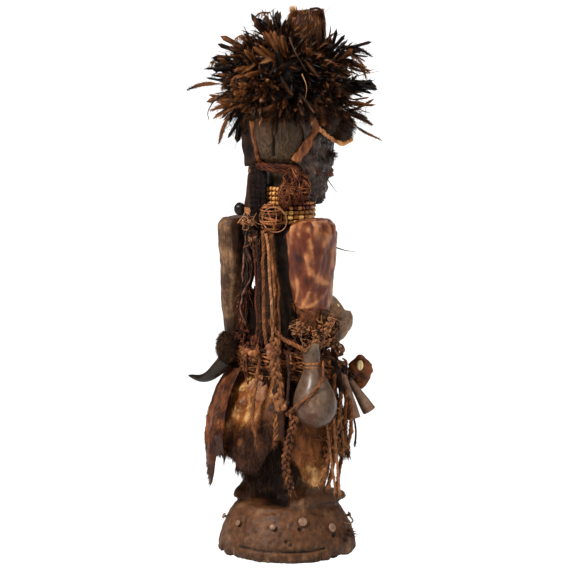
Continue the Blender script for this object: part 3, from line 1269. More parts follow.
def lay_cheek_hide():
    """Dark rough hide that clings to the right side of the head and hangs down to the beads."""
    wood = bpy.data.objects["carved_wood"]
    heights = linspace(800, 641, 56)
    starts = interp(heights, (654, 690, 713, 753, 800), (84, 74, 55, 66, 54))
    rows = []
    for z, start in zip(heights, starts):
        held = max(z, 718.0)
        row = []
        for angle in start + (140 - start) * linspace(0, 1, 60):
            _, spot, _, _ = wood.ray_cast(Vector(around(angle, 190.0, held)) * MM, Vector(around(angle, -1.0, 0.0)))
            x, y, _ = Vector(spot) / MM * (1 - 0.0030 * (held - z))
            row.append((x, y, z))
        rows.append(row)
    spots = array(rows)
    out = unit(spots * (1, 1, 0))
    rough = 5.0 + 5.0 * ease(-heights, -724, -706)[:, None] + 3.0 * lumps(spots, 11) + 1.6 * lumps(spots, 4.5)
    rough += 2.2 * lumps(spots * (1, 1, 0.2), 7)
    spots = spots + out * rough[..., None]
    spots[-6:, :, 2] += 5.0 * lumps(spots[-6:], 6.0)
    skin = Skein(35)
    tone = 0.36 + 0.34 * lumps(spots, 7) + 0.2 * lumps(spots * (1, 1, 0.3), 4)
    skin.grid(spots[:, ::-1], tone[:, ::-1])
    made = skin.piece("cheek_hide", "grey_hide")
    modified(made, ("SOLIDIFY", {"thickness": 0.003, "offset": -1.0}))
    fur = Skein(36)
    row, column = fur.random.integers(2, 56, 900), fur.random.integers(0, 60, 900)
    roots, away = spots[row, column], out[row, column]
    ways = -SKY + 0.35 * away + 0.8 * drift(roots, 16, 2, 5, 8) + 0.2 * fur.scatter(900)
    shade = 0.36 + 0.3 * lumps(roots, 8) + 0.2 * fur.random.normal(size=900)
    fur.spikes(roots, ways, fur.random.uniform(2, 7, 900), 0.8, 0.0, shade, shade + 0.15)
    tuft = in_view(78, 10, 722) + fur.scatter(60) * 3
    fur.spikes(tuft, RIGHT + 0.5 * fur.scatter(60), 15, 1.1, 0.0, 0.4, 0.9)
    fur.piece("cheek_hide_fur", "grey_hide")
    flat, area = sheet_sizes(spots)


class FIGURE_OT_head_hides(bpy.types.Operator):
    """Makes the hide tuft on the crown, the hides at the temples and the cord that binds them"""

    bl_idname = "figure.head_hides"
    bl_label = "Head hides and binding"

    def execute(self, context):
        fold_crown_hide()
        lay_straps()
        lay_cheek_hide()
        binding = Skein(32)
        for k in range(2):
            ring = hoop_line((0, -17, 611 + 7.4 * (k - 0.5)), 60.5, 79.5, 20)
            ring[:, 2] += 1.2 * lumps(ring, 18, k)
            binding.rope(ring, 8.8, 3, 4.6, tone=0.30, turn=k)
            binding.fuzz(ring, 9, 3.0)
        binding.piece("head_binding", "red_fibre", "head_binding_cord")
        return {"FINISHED"}


# Neck -------------------------------------------------------------------------------------------


NECK_RADIUS = 47.2
BEAD_PITCH = 8.4
LOWEST_BEADS = 604


def string_beads():
    for strand in range(8):
        pick = np.random.default_rng(50 + strand)
        tall = 9.0 if strand < 3 else 7.0
        profile = [(1.0, 0.25), (2.9, 0.0), (3.75, 0.7), (3.95, tall / 2), (3.75, tall - 0.7), (2.9, tall - 0.1),
                   (1.0, tall - 0.3), (1.0, 0.25)]
        bead = spun("bead", profile, 9)
        count = int(2 * math.pi * NECK_RADIUS / (tall + 0.7))
        level = LOWEST_BEADS + BEAD_PITCH * strand
        placings, tones = [], []
        for k in range(count):
            turn = 2 * math.pi * k / count + pick.normal() * 0.006
            radius = NECK_RADIUS + pick.normal() * 0.35
            place = Vector((radius * math.cos(turn), radius * math.sin(turn) - 0.5 * strand,
                            level + pick.normal() * 0.3)) * MM
            way = Vector((-math.sin(turn), math.cos(turn), pick.normal() * 0.03))
            grow = Matrix.Scale(0.97 + 0.06 * pick.random(), 4)
            aim = Vector((0, 0, 1)).rotation_difference(way).to_matrix().to_4x4()
            placings.append(Matrix.Translation(place) @ aim @ grow)
            gilt = strand > 2 and place @ Vector(RIGHT) < -0.006
            tones.append(pick.uniform(0.86, 1.0) if gilt else pick.uniform(0.15, 0.9))
        points = len(bead.data.vertices)
        row = copies(f"neck_beads_{strand + 1}", bead, placings)
        move_to(row.data, spots_of(row.data), tone=np.repeat(array(tones), points))
        packed = [f"bead_strand_{strand + 1}"] if strand < 6 else []
        settle(row, "glass_bead" if strand < 3 else "red_bead", *packed)
        thread = Skein(60 + strand)
        thread.tube(oval(turns(73, True), NECK_RADIUS, NECK_RADIUS, level) - (0, 0.5 * strand, 0), 1.3, 6, tone=0.2)
        thread.piece(f"bead_thread_{strand + 1}", "dark_fibre")


class FIGURE_OT_beads(bpy.types.Operator):
    """Strings eight rows of short glass cylinders round the neck"""

    bl_idname = "figure.beads"
    bl_label = "Neck beads"

    def execute(self, context):
        string_beads()
        return {"FINISHED"}


def wind_neck_knots():
    bundle = Skein(70)
    pick = bundle.random
    centre, half = above_base((-18, 67, 522)), array((19.5, 19.0, 27.0))
    bundle.ball(centre, half * 0.84, 12, 18, 1.0, 5.0, 0.04)
    turn = turns(44, True)
    for k in range(15):
        z = -0.88 + 1.76 * k / 14
        wide = math.sqrt(1 - z * z)
        ring = oval(turn, wide, wide, z + pick.normal() * 0.16 * sin(turn + k))
        tone = 0.62 + 0.26 * pick.normal()
        bundle.rope(centre + half * ring * pick.uniform(0.94, 1.04), 3.4, 2, 3.0, 5, tone)
    bundle.tangle(centre, half * 1.02, 12, 1.9, 0.9, 0.6)
    bundle.piece("neck_knot", "fibre", "neck_knot_bundle")
    nest = Skein(71)
    centre, half = above_base((-41, 24, 575)), array((27.0, 24.0, 30.0))
    nest.ball(centre, half * 0.78, 14, 20, 6.0, 9.0, 0.1)
    nest.piece("neck_nest_core", "red_hide:plain")
    nest = Skein(74)
    nest.tangle(centre, half * 0.98, 80, 1.7, 0.8, 0.5, 1.0)
    nest.tangle(above_base((-45, 40, 596)), (17, 13, 17), 44, 1.4, 1.0, 0.36, 1.0)
    nest.tangle(above_base((-34, 48, 560)), (13, 11, 24), 40, 1.4, 1.0, 0.48, 1.0)
    nest.piece("neck_cord_nest", "red_fibre", "neck_cord_tangle")
    strands = Skein(75)
    pick = strands.random
    for k in range(26):
        side = -62 + 22 * k / 25 + 1.5 * pick.normal()
        route = [(side, 34, 706), (side + 3 * pick.normal(), 42, 676),
                 (side + 3 * pick.normal(), 46, 590 - 12 * pick.random())]
        strands.rope(curve_seen(route, 2.5), 4.4, 2, 4.0, 4, tone=0.12 + 0.1 * pick.normal())
    strands.tube(curve_seen([(-47, 22, 704), (-47, 30, 650), (-47, 34, 592)], 4), 11.0, 14, 0.5, RIGHT, 0.05)
    strands.piece("neck_strands", "dark_fibre")
    cane = Skein(72)
    lean, swing = math.radians(79), math.radians(20)
    tilt = array([[1, 0, 0], [0, math.cos(lean), -math.sin(lean)], [0, math.sin(lean), math.cos(lean)]])
    spin = array([[math.cos(swing), -math.sin(swing), 0], [math.sin(swing), math.cos(swing), 0], [0, 0, 1]])
    ring = oval(turns(70, True), 23, 23) @ (spin @ tilt).T + above_base((-36, 77, 521))
    cane.tube(ring, 1.2 + 0.2 * lumps(ring, 8), 8, tone=0.5)
    cane.piece("cane_loop", "pale_fibre", "cane_ring")


class FIGURE_OT_neck_knots(bpy.types.Operator):
    """Winds the bundle and the loose nest of cord at the back of the neck, with the cane ring"""

    bl_idname = "figure.neck_knots"
    bl_label = "Neck knots and cane ring"

    def execute(self, context):
        wind_neck_knots()
        return {"FINISHED"}


def wrap_amulets():
    roll = Skein(80)
    line = curve(above_base([(36, 46, 613), (39, 48, 582), (42, 51, 550), (43, 52, 518)]), 2)
    share = shares(line)
    swell = 10.2 + 0.6 * sin(9 * share) - 2.6 * hump(share - 0.14, 0.05)
    roll.tube(line, swell, 28, tone=0.32 + 0.2 * lumps(line, 14))
    made = roll.piece("amulet_roll_skin", "brown_pelt", "left_amulet_roll")
    seam = lumps(spots_of(made.data) * (1, 1, 0.25), 3.6)
    push(made, 0.9 * seam, tone=0.36 + 0.3 * seam)
    ties = Skein(81)
    for low, high, tone in ((0.02, 0.20, 0.5), (0.80, 0.97, 0.82)):
        ties.wrap(line[int(low * len(line)):int(high * len(line))], 10.9, 2.6, 2.2, tone)
    ties.fray(line[-3] + NEAR * 8, NEAR - SKY, 24, 26, 8, 1.0, 0.75)
    ties.snarl(in_view(-68, 62, 606), (12, 6, 4), 16, 1.7, 0.5)
    ties.snarl(in_view(-58, 60, 586), (7, 5, 14), 16, 1.7, 0.2)
    ties.piece("amulet_roll_ties", "pale_fibre")
    nut = Skein(82)
    nut.ball(above_base((58, 62, 532)), (10.6, 10.6, 11.6), 20, 28, 0.5, 5.0, 0.22)
    nut.piece("amulet_nut", "horn", "amulet_ball")


# The packet's own directions across its face and out of it, its middle, and its levels: height, half its
# width and half its depth
PACKET_WIDE, PACKET_OUT = array([-0.8, -0.6, 0.0]), array([-0.6, 0.8, 0.0])
PACKET_CENTRE = above_base((-106, -79, 236))
PACKET_LEVELS = ((-31, 3, 3), (-24, 11, 6), (-12, 18.5, 8), (2, 22.5, 8.6), (14, 21, 8), (23, 12, 6), (31, 4, 3))


def on_packet(right, out, z):
    """Places from three grids of distances in the packet's own directions."""
    return right[..., None] * PACKET_WIDE + out[..., None] * PACKET_OUT + z[..., None] * SKY


def stitch_packet():
    """A stitched leather pouch, pointed below, with a neck tied by cord."""
    z, width, depth = (column[:, None] for column in levels_at(linspace(0, 1, 34), PACKET_LEVELS))
    turn = turns(40)
    spots = PACKET_CENTRE + on_packet(width * squared(cos(turn), 0.8), depth * sin(turn), z + 0 * turn)
    out = unit(spots - spots.mean(axis=1, keepdims=True))
    crease = 1.5 * lumps(spots, 6.0) + 1.3 * lumps(spots * (1, 1, 2.4), 9.0)
    pouch = Skein(83)
    pouch.grid(spots + out * crease[..., None], 0.30 + 0.13 * crease, wraps=True, capped=True)
    pouch.piece("amulet_pouch", "red_hide:amber", "amulet_packet")
    shell = Skein(84)
    rise = linspace(-pi / 2, pi / 2, 22)[1:-1, None]
    swing = turns(30)
    mouth = swing - pi / 2
    groove = 1 - 0.34 * hump(mouth, 0.22)
    body = on_packet(6.2 * cos(rise) * cos(swing), 4.4 * groove * cos(rise) * sin(swing),
                     9.4 * sin(rise) + 0 * swing)
    tone = 0.65 - 0.6 * hump(mouth, 0.16) + 0 * rise
    shell.grid(PACKET_CENTRE + PACKET_OUT * 9.6 + SKY * 13.6 + body, tone, wraps=True, capped=True)
    shell.piece("cowrie", "shell", "cowrie_shell")


class FIGURE_OT_amulets(bpy.types.Operator):
    """Makes the wrapped amulet roll and ball at the neck, and the packet with its cowrie at the waist"""

    bl_idname = "figure.amulets"
    bl_label = "Amulets"

    def execute(self, context):
        wrap_amulets()
        stitch_packet()
        return {"FINISHED"}


# Cords ------------------------------------------------------------------------------------------

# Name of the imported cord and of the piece, kind, diameter, slot, tone, far end, lay, route from the base's top
CORDS = (
    ("spine_cord_left", "back_cord_left", "rope", 8, "dark_fibre", 0.55, "object", "taut",
     [(-7, 75, 507), (-3, 76, 473), (-2, 75, 443), (-3, 74, 410), (-7, 76, 375), (-11, 83, 340), (-17, 94, 300)]),
    ("leather_thong", "back_thong", "thong", 10, "fibre", 0.62, "object", "taut",
     [(-20, 68, 501), (-22, 66, 465), (-25, 64, 420), (-29, 65, 379), (-36, 72, 340), (-44, 86, 302)]),
    ("spine_cord_middle", "back_cord_middle", "rope", 8, "fibre", 0.55, "object", "taut",
     [(-14, 82, 500), (-14, 82, 444), (-16, 83, 403), (-18, 86, 367), (-24, 92, 336), (-32, 96, 302)]),
    ("sling_cord", "calabash_hanger", "rope", 9, "fibre", 0.55, "object", "hanging",
     [(-34, 88, 344), (-46, 88, 326), (-64, 84, 312), (-84, 80, 304), (-102, 77, 297), (-112, 76, 291)]),
    ("long_thin_cord", "long_string", "rope", 6.5, "fibre", 0.58, "bare", "hanging",
     [(-20, 106, 300), (-30, 113, 276), (-36, 129, 240), (-39, 138, 200), (-41, 143, 171), (-47, 142, 141)]),
    ("thick_braid", "thick_plait", "plait", 20, "pale_fibre:plait", 0.46, "knot", "hanging",
     [(-52, 94, 313), (-60, 105, 283), (-71, 114, 251), (-81, 120, 219), (-88, 124, 200)]),
    ("lower_braid", "lower_plait", "plait", 16, "fibre:plait", 0.42, "bare", "hanging",
     [(-102, 118, 192), (-110, 113, 179), (-105, 113, 154), (-97, 113, 126), (-90, 111, 100), (-88, 105, 73),
      (-91, 97, 49)]),
    ("knotted_string", "knotted_dark_string", "rope", 6, "dark_fibre", 0.50, "knot", "hanging",
     [(-74, 86, 293), (-85, 96, 263), (-92, 106, 233), (-99, 116, 207)]),
    ("fringe_string_1", "fringe_1", "rope", 8, "fibre", 0.50, "knot", "hanging",
     [(-116, 6, 244), (-123, 19, 209), (-127, 29, 166), (-126, 34, 112), (-117, 42, 52)]),
    ("fringe_string_2", "fringe_2", "rope", 8, "pale_fibre", 0.42, "knot", "hanging",
     [(-117, -10, 244), (-126, 1, 207), (-129, 13, 155), (-126, 20, 101), (-119, 28, 45)]),
    ("fringe_string_3", "fringe_3", "rope", 8, "fibre", 0.46, "knot", "hanging",
     [(-126, -14, 214), (-130, -8, 186), (-132, -3, 143), (-127, 1, 98), (-122, 6, 40)]),
    ("fringe_string_4", "fringe_4", "rope", 8, "fibre", 0.58, "knot", "hanging",
     [(-134, -14, 200), (-138, -14, 176), (-138, -14, 143), (-131, -12, 111)]),
    ("arm_bead_string", "arm_string", "beaded", 7, "pale_fibre", 0.66, "object", "hanging",
     [(-80, -24, 447), (-81, -25, 416), (-80, -25, 385), (-77, -23, 356), (-76, -20, 330)]),
    ("calabash_sling_cord", "calabash_net_cord", "rope", 4.5, "fibre", 0.52, "object", "hanging",
     [(-140, 68, 278), (-152, 82, 262), (-157, 95, 244), (-146, 114, 224), (-124, 124, 204), (-112, 124, 194)]),
    ("", "back_cord_gold", "rope", 6.5, "pale_fibre", 0.62, "object", "taut",
     [(-22, 84, 496), (-27, 85, 470), (-30, 84, 423), (-33, 81, 380), (-37, 82, 350), (-44, 90, 312)]),
    ("", "back_cord_dark", "rope", 7, "dark_fibre", 0.30, "object", "taut",
     [(-3, 88, 500), (-5, 88, 460), (-8, 87, 413), (-10, 87, 372), (-16, 92, 336), (-22, 100, 300)]),
    ("", "back_cord_thin", "rope", 5, "fibre", 0.36, "object", "taut",
     [(-30, 76, 494), (-32, 72, 444), (-38, 70, 400), (-42, 72, 362), (-48, 78, 326), (-54, 88, 298)]),
    ("", "back_cord_far", "rope", 5, "red_fibre", 0.40, "object", "taut",
     [(5, 86, 500), (6, 84, 460), (3, 84, 413), (2, 83, 372), (-6, 90, 336), (-12, 98, 302)]),
    ("", "fringe_5", "rope", 5, "pale_fibre", 0.50, "knot", "hanging",
     [(-120, 35, 190), (-125, 39, 153), (-130, 37, 108), (-135, 33, 68), (-136, 29, 36)]),
    ("", "fringe_6", "rope", 6, "pale_fibre", 0.46, "knot", "hanging",
     [(-129, 11, 178), (-135, 9, 143), (-137, 6, 111)]),
    ("", "fringe_7", "rope", 5, "pale_fibre", 0.56, "knot", "hanging",
     [(-133, 29, 170), (-138, 30, 118), (-141, 25, 58), (-140, 21, 33)]),
    ("bell_cord", "clapper_cord", "rope", 4, "dark_fibre", 0.36, "knot", "hanging",
     [(-118, -30.5, 200.5), (-126.6, -34.8, 161.6), (-129, -36, 140), (-128, -35, 116)]),
)


def string_small_beads(cord, line, diameter, tone):
    """Short pale beads on a thread."""
    cord.tube(line, 1.0, 5, tone=0.3)
    reach = reach_of(line)
    for mark in linspace(2.0, length_of(line) - 2.0, int(length_of(line) / 4.4)):
        centre = array([interp(mark, reach, line[:, i]) for i in range(3)])
        size = diameter / 2 * cord.random.uniform(0.86, 1.0)
        cord.ball(centre, (size, size, 2.3), 5, 10, 0.3, 2.0, tone + 0.3 * cord.random.normal())


def plait_tail():
    """The loosened end of the thick plait, which hangs beside the lower one."""
    tail = Skein(160)
    line = curve(above_base([(-80, 130, 184), (-82, 128, 162), (-79, 127, 138)]), 2)
    tail.rope(line, 10.5, 3, 3.0, tone=0.45)
    tail.fray(line[-1], -SKY, 40, 20, 5, 1.0, 0.45)
    return tail.piece("plait_tail", "fibre", "lower_braid_tail")


def hang_cord(loose, seed, node, name, kind, diameter, slot, tone, far_end, lay, route):
    """One cord with its end, and the fibres and knots that stand off it."""
    line = curve(above_base(route), min(2.2, diameter * 0.3))
    loosened = ease(shares(line), 0.0, 0.15) * (0.0 if kind == "plait" else 1.9)
    line += loosened[:, None] * stack([lumps(line + 31 * seed, size) for size in (21, 26, 90)], axis=1)
    cord = Skein(seed)
    if kind == "rope":
        cord.rope(line, diameter * 0.97, 3, 3.1, tone=tone)
        loose.fuzz(line, diameter, 1.6)
    elif kind == "plait":
        cord.plait(line, diameter, RIGHT, tone=tone)
        loose.fuzz(line, diameter, 0.7, 0.5)
    elif kind == "thong":
        taper = diameter / 2 * (1.0 - 0.35 * shares(line) ** 0.7) * (1 + 0.06 * lumps(line, 9))
        cord.tube(line, taper, 14, 0.72, RIGHT, tone + 0.2 * lumps(line * (1, 1, 0.5), 7))
        cord.rope(line[len(line) // 2:], 7.0, 2, 5.0, tone=tone - 0.2)
    else:
        string_small_beads(cord, line, diameter, tone)
    tail = line[-1] - line[-2]
    made = cord.piece(name, slot, *([node] if node else []))
    if far_end != "object":
        knotted = far_end == "knot"
        end = Skein(seed + 50)
        if knotted:
            end.knot(line[-1], diameter * 1.25, tail, tone + 0.1)
        end.fray(line[-1], unit(tail) - 0.4 * SKY, 26, 13 if knotted else 34, diameter * 0.45, 0.9, tone)
        end.piece(name + "_end", slot)
    if name.startswith("fringe"):
        for mark in range(12 + seed % 5, len(line) - 6, 14):
            loose.knot(line[mark], diameter * loose.random.uniform(0.9, 1.3), line[mark] - line[mark - 1], tone)
    if name == "lower_plait":
        plait_tail()
    length_of(line) * MM


# Snarls of the fringe: middle, half its size, and how many knots
FRINGE_SNARLS = (((-124, 16, 150), (11, 13, 44), 35), ((-129, 2, 112), (9, 9, 15), 17),
                 ((-122, 30, 104), (9, 9, 17), 15), ((-121, 24, 188), (9, 9, 12), 12))


class FIGURE_OT_free_cords(bpy.types.Operator):
    """Twists and plaits the cords that hang down the back and from the waist"""

    bl_idname = "figure.free_cords"
    bl_label = "Free cords"

    def execute(self, context):
        loose = Skein(99)
        for seed, row in enumerate(CORDS, 100):
            hang_cord(loose, seed, *row)
        loose.tangle(above_base((-83, -44, 278)), (14, 10, 12), 26, 2.0, 0.6, 0.66, 0.4)
        loose.piece("cord_fibres", "fibre")
        net = Skein(98)
        for centre, half, count in FRINGE_SNARLS:
            net.snarl(above_base(centre), array(half) * 0.8, count, 1.9, 0.5)
        net.piece("fringe_net", "pale_fibre")
        return {"FINISHED"}


# Arms -------------------------------------------------------------------------------------------

# Raised seams of the arm's hide, as (right, z) in the photograph's view with half a width each
HIDE_SEAMS = (
    ([(40, 584), (46, 560), (48, 530), (46, 500)], 3.6), ([(20, 592), (30, 560), (38, 530), (40, 508)], 3.0),
    ([(66, 580), (62, 556), (56, 530), (54, 512)], 3.0), ([(52, 516), (66, 504), (82, 500)], 5.0),
    ([(46, 506), (36, 482), (28, 460)], 3.4), ([(26, 460), (44, 464), (60, 478), (68, 492)], 3.6),
    ([(24, 456), (22, 440)], 3.0), ([(16, 470), (20, 500), (10, 540)], 2.4),
)

# Dark red panels between them: (right, z) of the middle, half the width and half the height
HIDE_PANELS = ((16, 546, 11, 30), (61, 545, 17, 26), (38, 504, 12, 13), (62, 478, 9, 20), (26, 572, 8, 14))
# Height of the hem above the hide's lowest point, by the turn from +X
HEM = ((0.0, 0.7, 1.7, 2.5, 2.85, 3.6, 6.3), (24, 29, 20, 8, 20, 12, 24))
# Levels of the hide: x and y of its middle, height, and half its size along x and y
ARM_LEVELS = ((-86, 34, 346, 24, 35), (-87, 34, 372, 26.5, 38), (-87, 34, 400, 29, 42), (-88, 35, 460, 33, 50),
              (-88, 35, 496, 33.5, 51), (-88, 35, 512, 30, 47), (-88, 35, 521, 21, 36), (-88, 35, 524, 3, 6))
# Loose strings at the elbow, in the photograph's view: middle, half their size, and how many
ELBOW_STRINGS = (((24, 104, 424), (15, 9, 13), 25), ((48, 106, 404), (26, 10, 13), 35),
                 ((70, 92, 424), (13, 12, 20), 30), ((70, 82, 396), (20, 12, 9), 23))


def flat_seen(spots):
    """Places as (right, z) in the photograph's view."""
    return stack([spots @ RIGHT, spots[..., 2]], axis=-1)


def stretch_arm_hide():
    share, turn = linspace(0, 1, 96), turns(110)
    x, y, z, half_x, half_y = (column[:, None] for column in levels_at(share, ARM_LEVELS))
    hem = (1 - share[:, None]) ** 6 * interp(turn, *HEM)
    spots = stack([x + half_x * squared(cos(turn), 0.82), y + half_y * squared(sin(turn), 0.82),
                      z + hem + BASE_TOP], axis=-1)
    out = unit(spots - stack([x, y, 0 * z], axis=-1) - spots * (0, 0, 1))
    seen = ease(out @ NEAR, 0.0, 0.4)
    sight = flat_seen(spots)
    flat = np.pad(sight.reshape(-1, 2), ((0, 0), (0, 1)))
    ridge = zeros(len(flat))
    for line, wide in HIDE_SEAMS:
        course = curve([(right, height, 0.0) for right, height in line], 4)
        ridge = maximum(ridge, hump(from_line(flat, course), wide))
    ridge = ridge.reshape(seen.shape) * seen
    crumple = lumps(spots * (1, 1, 0.6), 8.0)
    top = ease(spots[..., 2], 566, 596)
    moved = spots + out * (
        2.2 * ridge + (1.5 + 2.2 * top) * crumple + 0.7 * lumps(spots * (1, 1, 0.3), 4.0) + 1.6 * lumps(spots, 24.0)
    )[..., None]
    sight = sight + 2.5 * lumps(spots, 13.0)[..., None]
    panel = np.max([exp(-(((sight - (right, level)) / (wide, high)) ** 6).sum(axis=-1))
                    for right, level, wide, high in HIDE_PANELS], axis=0)
    tone = 0.66 + 0.24 * ridge + (0.10 + 0.2 * top) * crumple + 0.08 * lumps(spots, 20, 4.4) - 0.33 * panel * seen
    tone += 0.10 * lumps(spots * (1, 1, 0.4), 4.0)
    skin = Skein(170)
    skin.grid(moved, tone, wraps=True)
    made = skin.piece("arm_hide", "red_hide:plain", "right_arm_hide")
    modified(made, ("SOLIDIFY", {"thickness": 0.0022, "offset": -1.0}))
    lay_elbow_hide()
    around_arm = length_of(vstack([moved[48], moved[48][:1]]))
    down_arm = length_of(moved[:, 10])
    lashing = Skein(171)
    lashing.fuzz(moved[2], 9, 1.2, 1.3, 0.5, 0.8)
    lashing.piece("arm_hide_hairs", "fibre")


def lay_elbow_hide():
    """The paler hide that shows below the flap at the elbow."""
    layer = Skein(174)
    share = linspace(0, 1, 22)[:, None]
    grow = 1 - 0.35 * (1 - share) ** 2
    spots = oval(turns(60), 23 * grow, 34 * grow, 410 + 68 * share) + (-86, 34, 0)
    out = unit(spots - (-86, 34, 0) - spots * (0, 0, 1))
    spots = spots + out * (2.2 * lumps(spots, 9) + 1.6 * lumps(spots * (1, 1, 0.3), 5))[..., None]
    layer.grid(spots, 0.36 + 0.34 * lumps(spots, 6) + 0.2 * lumps(spots, 3), wraps=True, capped=True)
    layer.piece("elbow_hide", "red_hide:amber")


def net_elbow():
    net = Skein(172)
    centre, half = above_base((-98, 18, 326)), array((26.0, 35.0, 24.0))
    net.ball(centre, half * 0.7, 14, 20, 3.0, 9.0, 0.2)
    net.tangle(centre, half * 0.92, 30, 3.0, 0.7, 0.36, 0.8)
    net.snarl(centre, half * 0.66, 60, 2.0, 0.5)
    net.piece("elbow_net", "fibre", "right_elbow_net")
    stray = Skein(173)
    for place, half, count in ELBOW_STRINGS:
        stray.snarl(in_view(*place), half, count, 2.1, 0.46)
    stray.piece("elbow_strings", "pale_fibre")


class FIGURE_OT_arm_hide(bpy.types.Operator):
    """Stretches the red hide over the right arm, with its seams and folds, and nets the elbow"""

    bl_idname = "figure.arm_hide"
    bl_label = "Arm hide and elbow net"

    def execute(self, context):
        stretch_arm_hide()
        net_elbow()
        return {"FINISHED"}


# Levels of the left shoulder's hank: x, y, height, and half its size along x and y
HANK_LEVELS = array([(44, 52, 530, 7, 7), (32, 62, 500, 12, 10), (34, 62, 451, 14, 11), (42, 61, 405, 10, 9),
                        (51, 59, 372, 9, 8), (56, 56, 340, 14, 10), (54, 56, 306, 13, 10)], float)


def wander(strand, far, *sizes):
    """How far a strand wanders sideways, by lumps of one size along x and of another along y."""
    one, two = sizes
    return far * stack([lumps(strand, one), lumps(strand, two, 3), 0 * strand[:, 0]], axis=1)


def hang_hank():
    line = curve(above_base(HANK_LEVELS[:, :3]), 3)
    share = shares(line)
    wide, deep = levels_at(share, HANK_LEVELS[:, 3:])
    hank = Skein(180)
    pick = hank.random
    for k in range(64):
        low, high = sorted(pick.uniform(0, 1, 2))
        if high - low < 0.3:
            low, high = max(0.0, low - 0.2), min(1.0, high + 0.2)
        part = slice(int(low * len(line)), int(high * len(line)))
        strand = line[part].copy()
        if len(strand) < 8:
            continue
        turn, reach = pick.uniform(0, 2 * pi), math.sqrt(pick.uniform(0.05, 1))
        sway = 0.7 * sin(share[part] * pick.uniform(6, 16) + turn)
        strand[:, 0] += wide[part] * reach * cos(turn + sway)
        strand[:, 1] += deep[part] * reach * sin(turn + sway)
        strand += wander(strand + 17 * k, 2.2, 13, 15)
        hank.tube(strand, pick.uniform(0.9, 2.4), 5, tone=0.38 + 0.25 * pick.normal())
    hank.piece("shoulder_fibres", "dark_fibre", "left_shoulder_hank")
    tassel = Skein(181)
    low = line[int(0.60 * len(line)):]
    tassel.fuzz(low, 26, 0.35, 0.5, 0.4, 1.1)
    spread = linspace(0.35, 1.0, len(low))[:, None]
    for k in range(70):
        turn, reach = pick.uniform(0, 2 * pi), math.sqrt(pick.uniform(0.2, 1))
        strand = low + oval(turn, 13 * reach, 9 * reach) * spread
        strand += wander(strand + 30 * k, 1.6, 10, 11)
        tassel.tube(strand, pick.uniform(0.7, 1.3), 4, tone=0.56 + 0.2 * pick.normal())
    tassel.piece("shoulder_tassel", "red_fibre")
    dark = Skein(182)
    pick = dark.random
    for k in range(70):
        side, top = pick.uniform(-76, -38), pick.uniform(470, 486)
        route = [(side, 12, top), (side + 4 * pick.normal(), 10, 425),
                 (side + 5 * pick.normal(), 14, pick.uniform(366, 384))]
        dark.tube(curve_seen(route, 6), 2.4, 5, tone=0.1 + 0.1 * pick.normal())
    dark.piece("arm_gap_strips", "dark_fibre")


class FIGURE_OT_shoulder_hank(bpy.types.Operator):
    """Hangs the hank of dark strips and red fibre behind the left shoulder"""

    bl_idname = "figure.shoulder_hank"
    bl_label = "Left shoulder hank"

    def execute(self, context):
        hang_hank()
        return {"FINISHED"}


# Waist ------------------------------------------------------------------------------------------

WAIST = {"width": 104.0, "depth": 98.0, "z": 254.0, "drop": 50.0}
# Wads of rag between the ropes and the back: angle, height and half the size
RAG_WADS = ((-52, 288, 15), (-38, 296, 17), (-24, 300, 15), (4, 300, 14), (24, 296, 15), (48, 290, 15),
            (66, 280, 14), (84, 272, 15), (100, 262, 14), (112, 250, 13), (-60, 262, 13), (-48, 246, 14))


def waist_height(angle):
    """Height of the ropes above the base's top, lower under the belly than over the back."""
    return WAIST["z"] - WAIST["drop"] * (1 - cos(radians(angle))) / 2


def wind_waist_ropes():
    for k in range(3):
        line = spaced(hoop_line((0, 0, WAIST["z"] + 17 * k), WAIST["width"], WAIST["depth"], WAIST["drop"]), 3)
        line = line + stack([lumps(line, 24, k), lumps(line, 24, k + 5), 0.6 * lumps(line, 19, k + 9)], axis=1) * 2
        ring = Skein(190 + k)
        ring.rope(line, 13.2, 3, 3.4, tone=0.42, turn=k)
        ring.fuzz(line, 13, 2.0, 0.6)
        ring.piece(f"waist_rope_{k + 1}", "fibre", f"waist_cord_{k + 1}")


def wind_waist_strings():
    strings = Skein(195)
    pick = strings.random
    for k in range(48):
        start, sweep = pick.uniform(-75, 130), pick.uniform(40, 120)
        angle = linspace(start, start + sweep, 60)
        turn = radians(angle)
        z = waist_height(angle) + pick.uniform(-2, 36) + 9 * sin(turn * pick.uniform(2, 5) + k)
        radius = 107 + 4 * sin(turn * pick.uniform(3, 9)) + pick.uniform(-3, 5)
        line = above_base(stack([-radius * sin(turn), 0.94 * radius * cos(turn), z], axis=1))
        thick = pick.uniform(2.2, 5.0)
        if thick > 3.4:
            strings.rope(spaced(line, 3), thick, 2, 3.6, tone=pick.uniform(0.1, 0.6))
        else:
            strings.tube(line, thick / 2, 6, tone=pick.uniform(0.1, 0.85))
    for _ in range(60):
        angle = pick.uniform(-65, 125)
        z = waist_height(angle) + pick.uniform(0, 34)
        size = pick.uniform(4, 8)
        place = above_base(around(angle, 106 * (1 - 0.05 * abs(math.cos(math.radians(angle)))), z))
        strings.tangle(place, (size, size, size * 1.3), 3, 2.6, 1.0, pick.uniform(0.35, 0.7))
    strings.piece("waist_strings", "fibre")


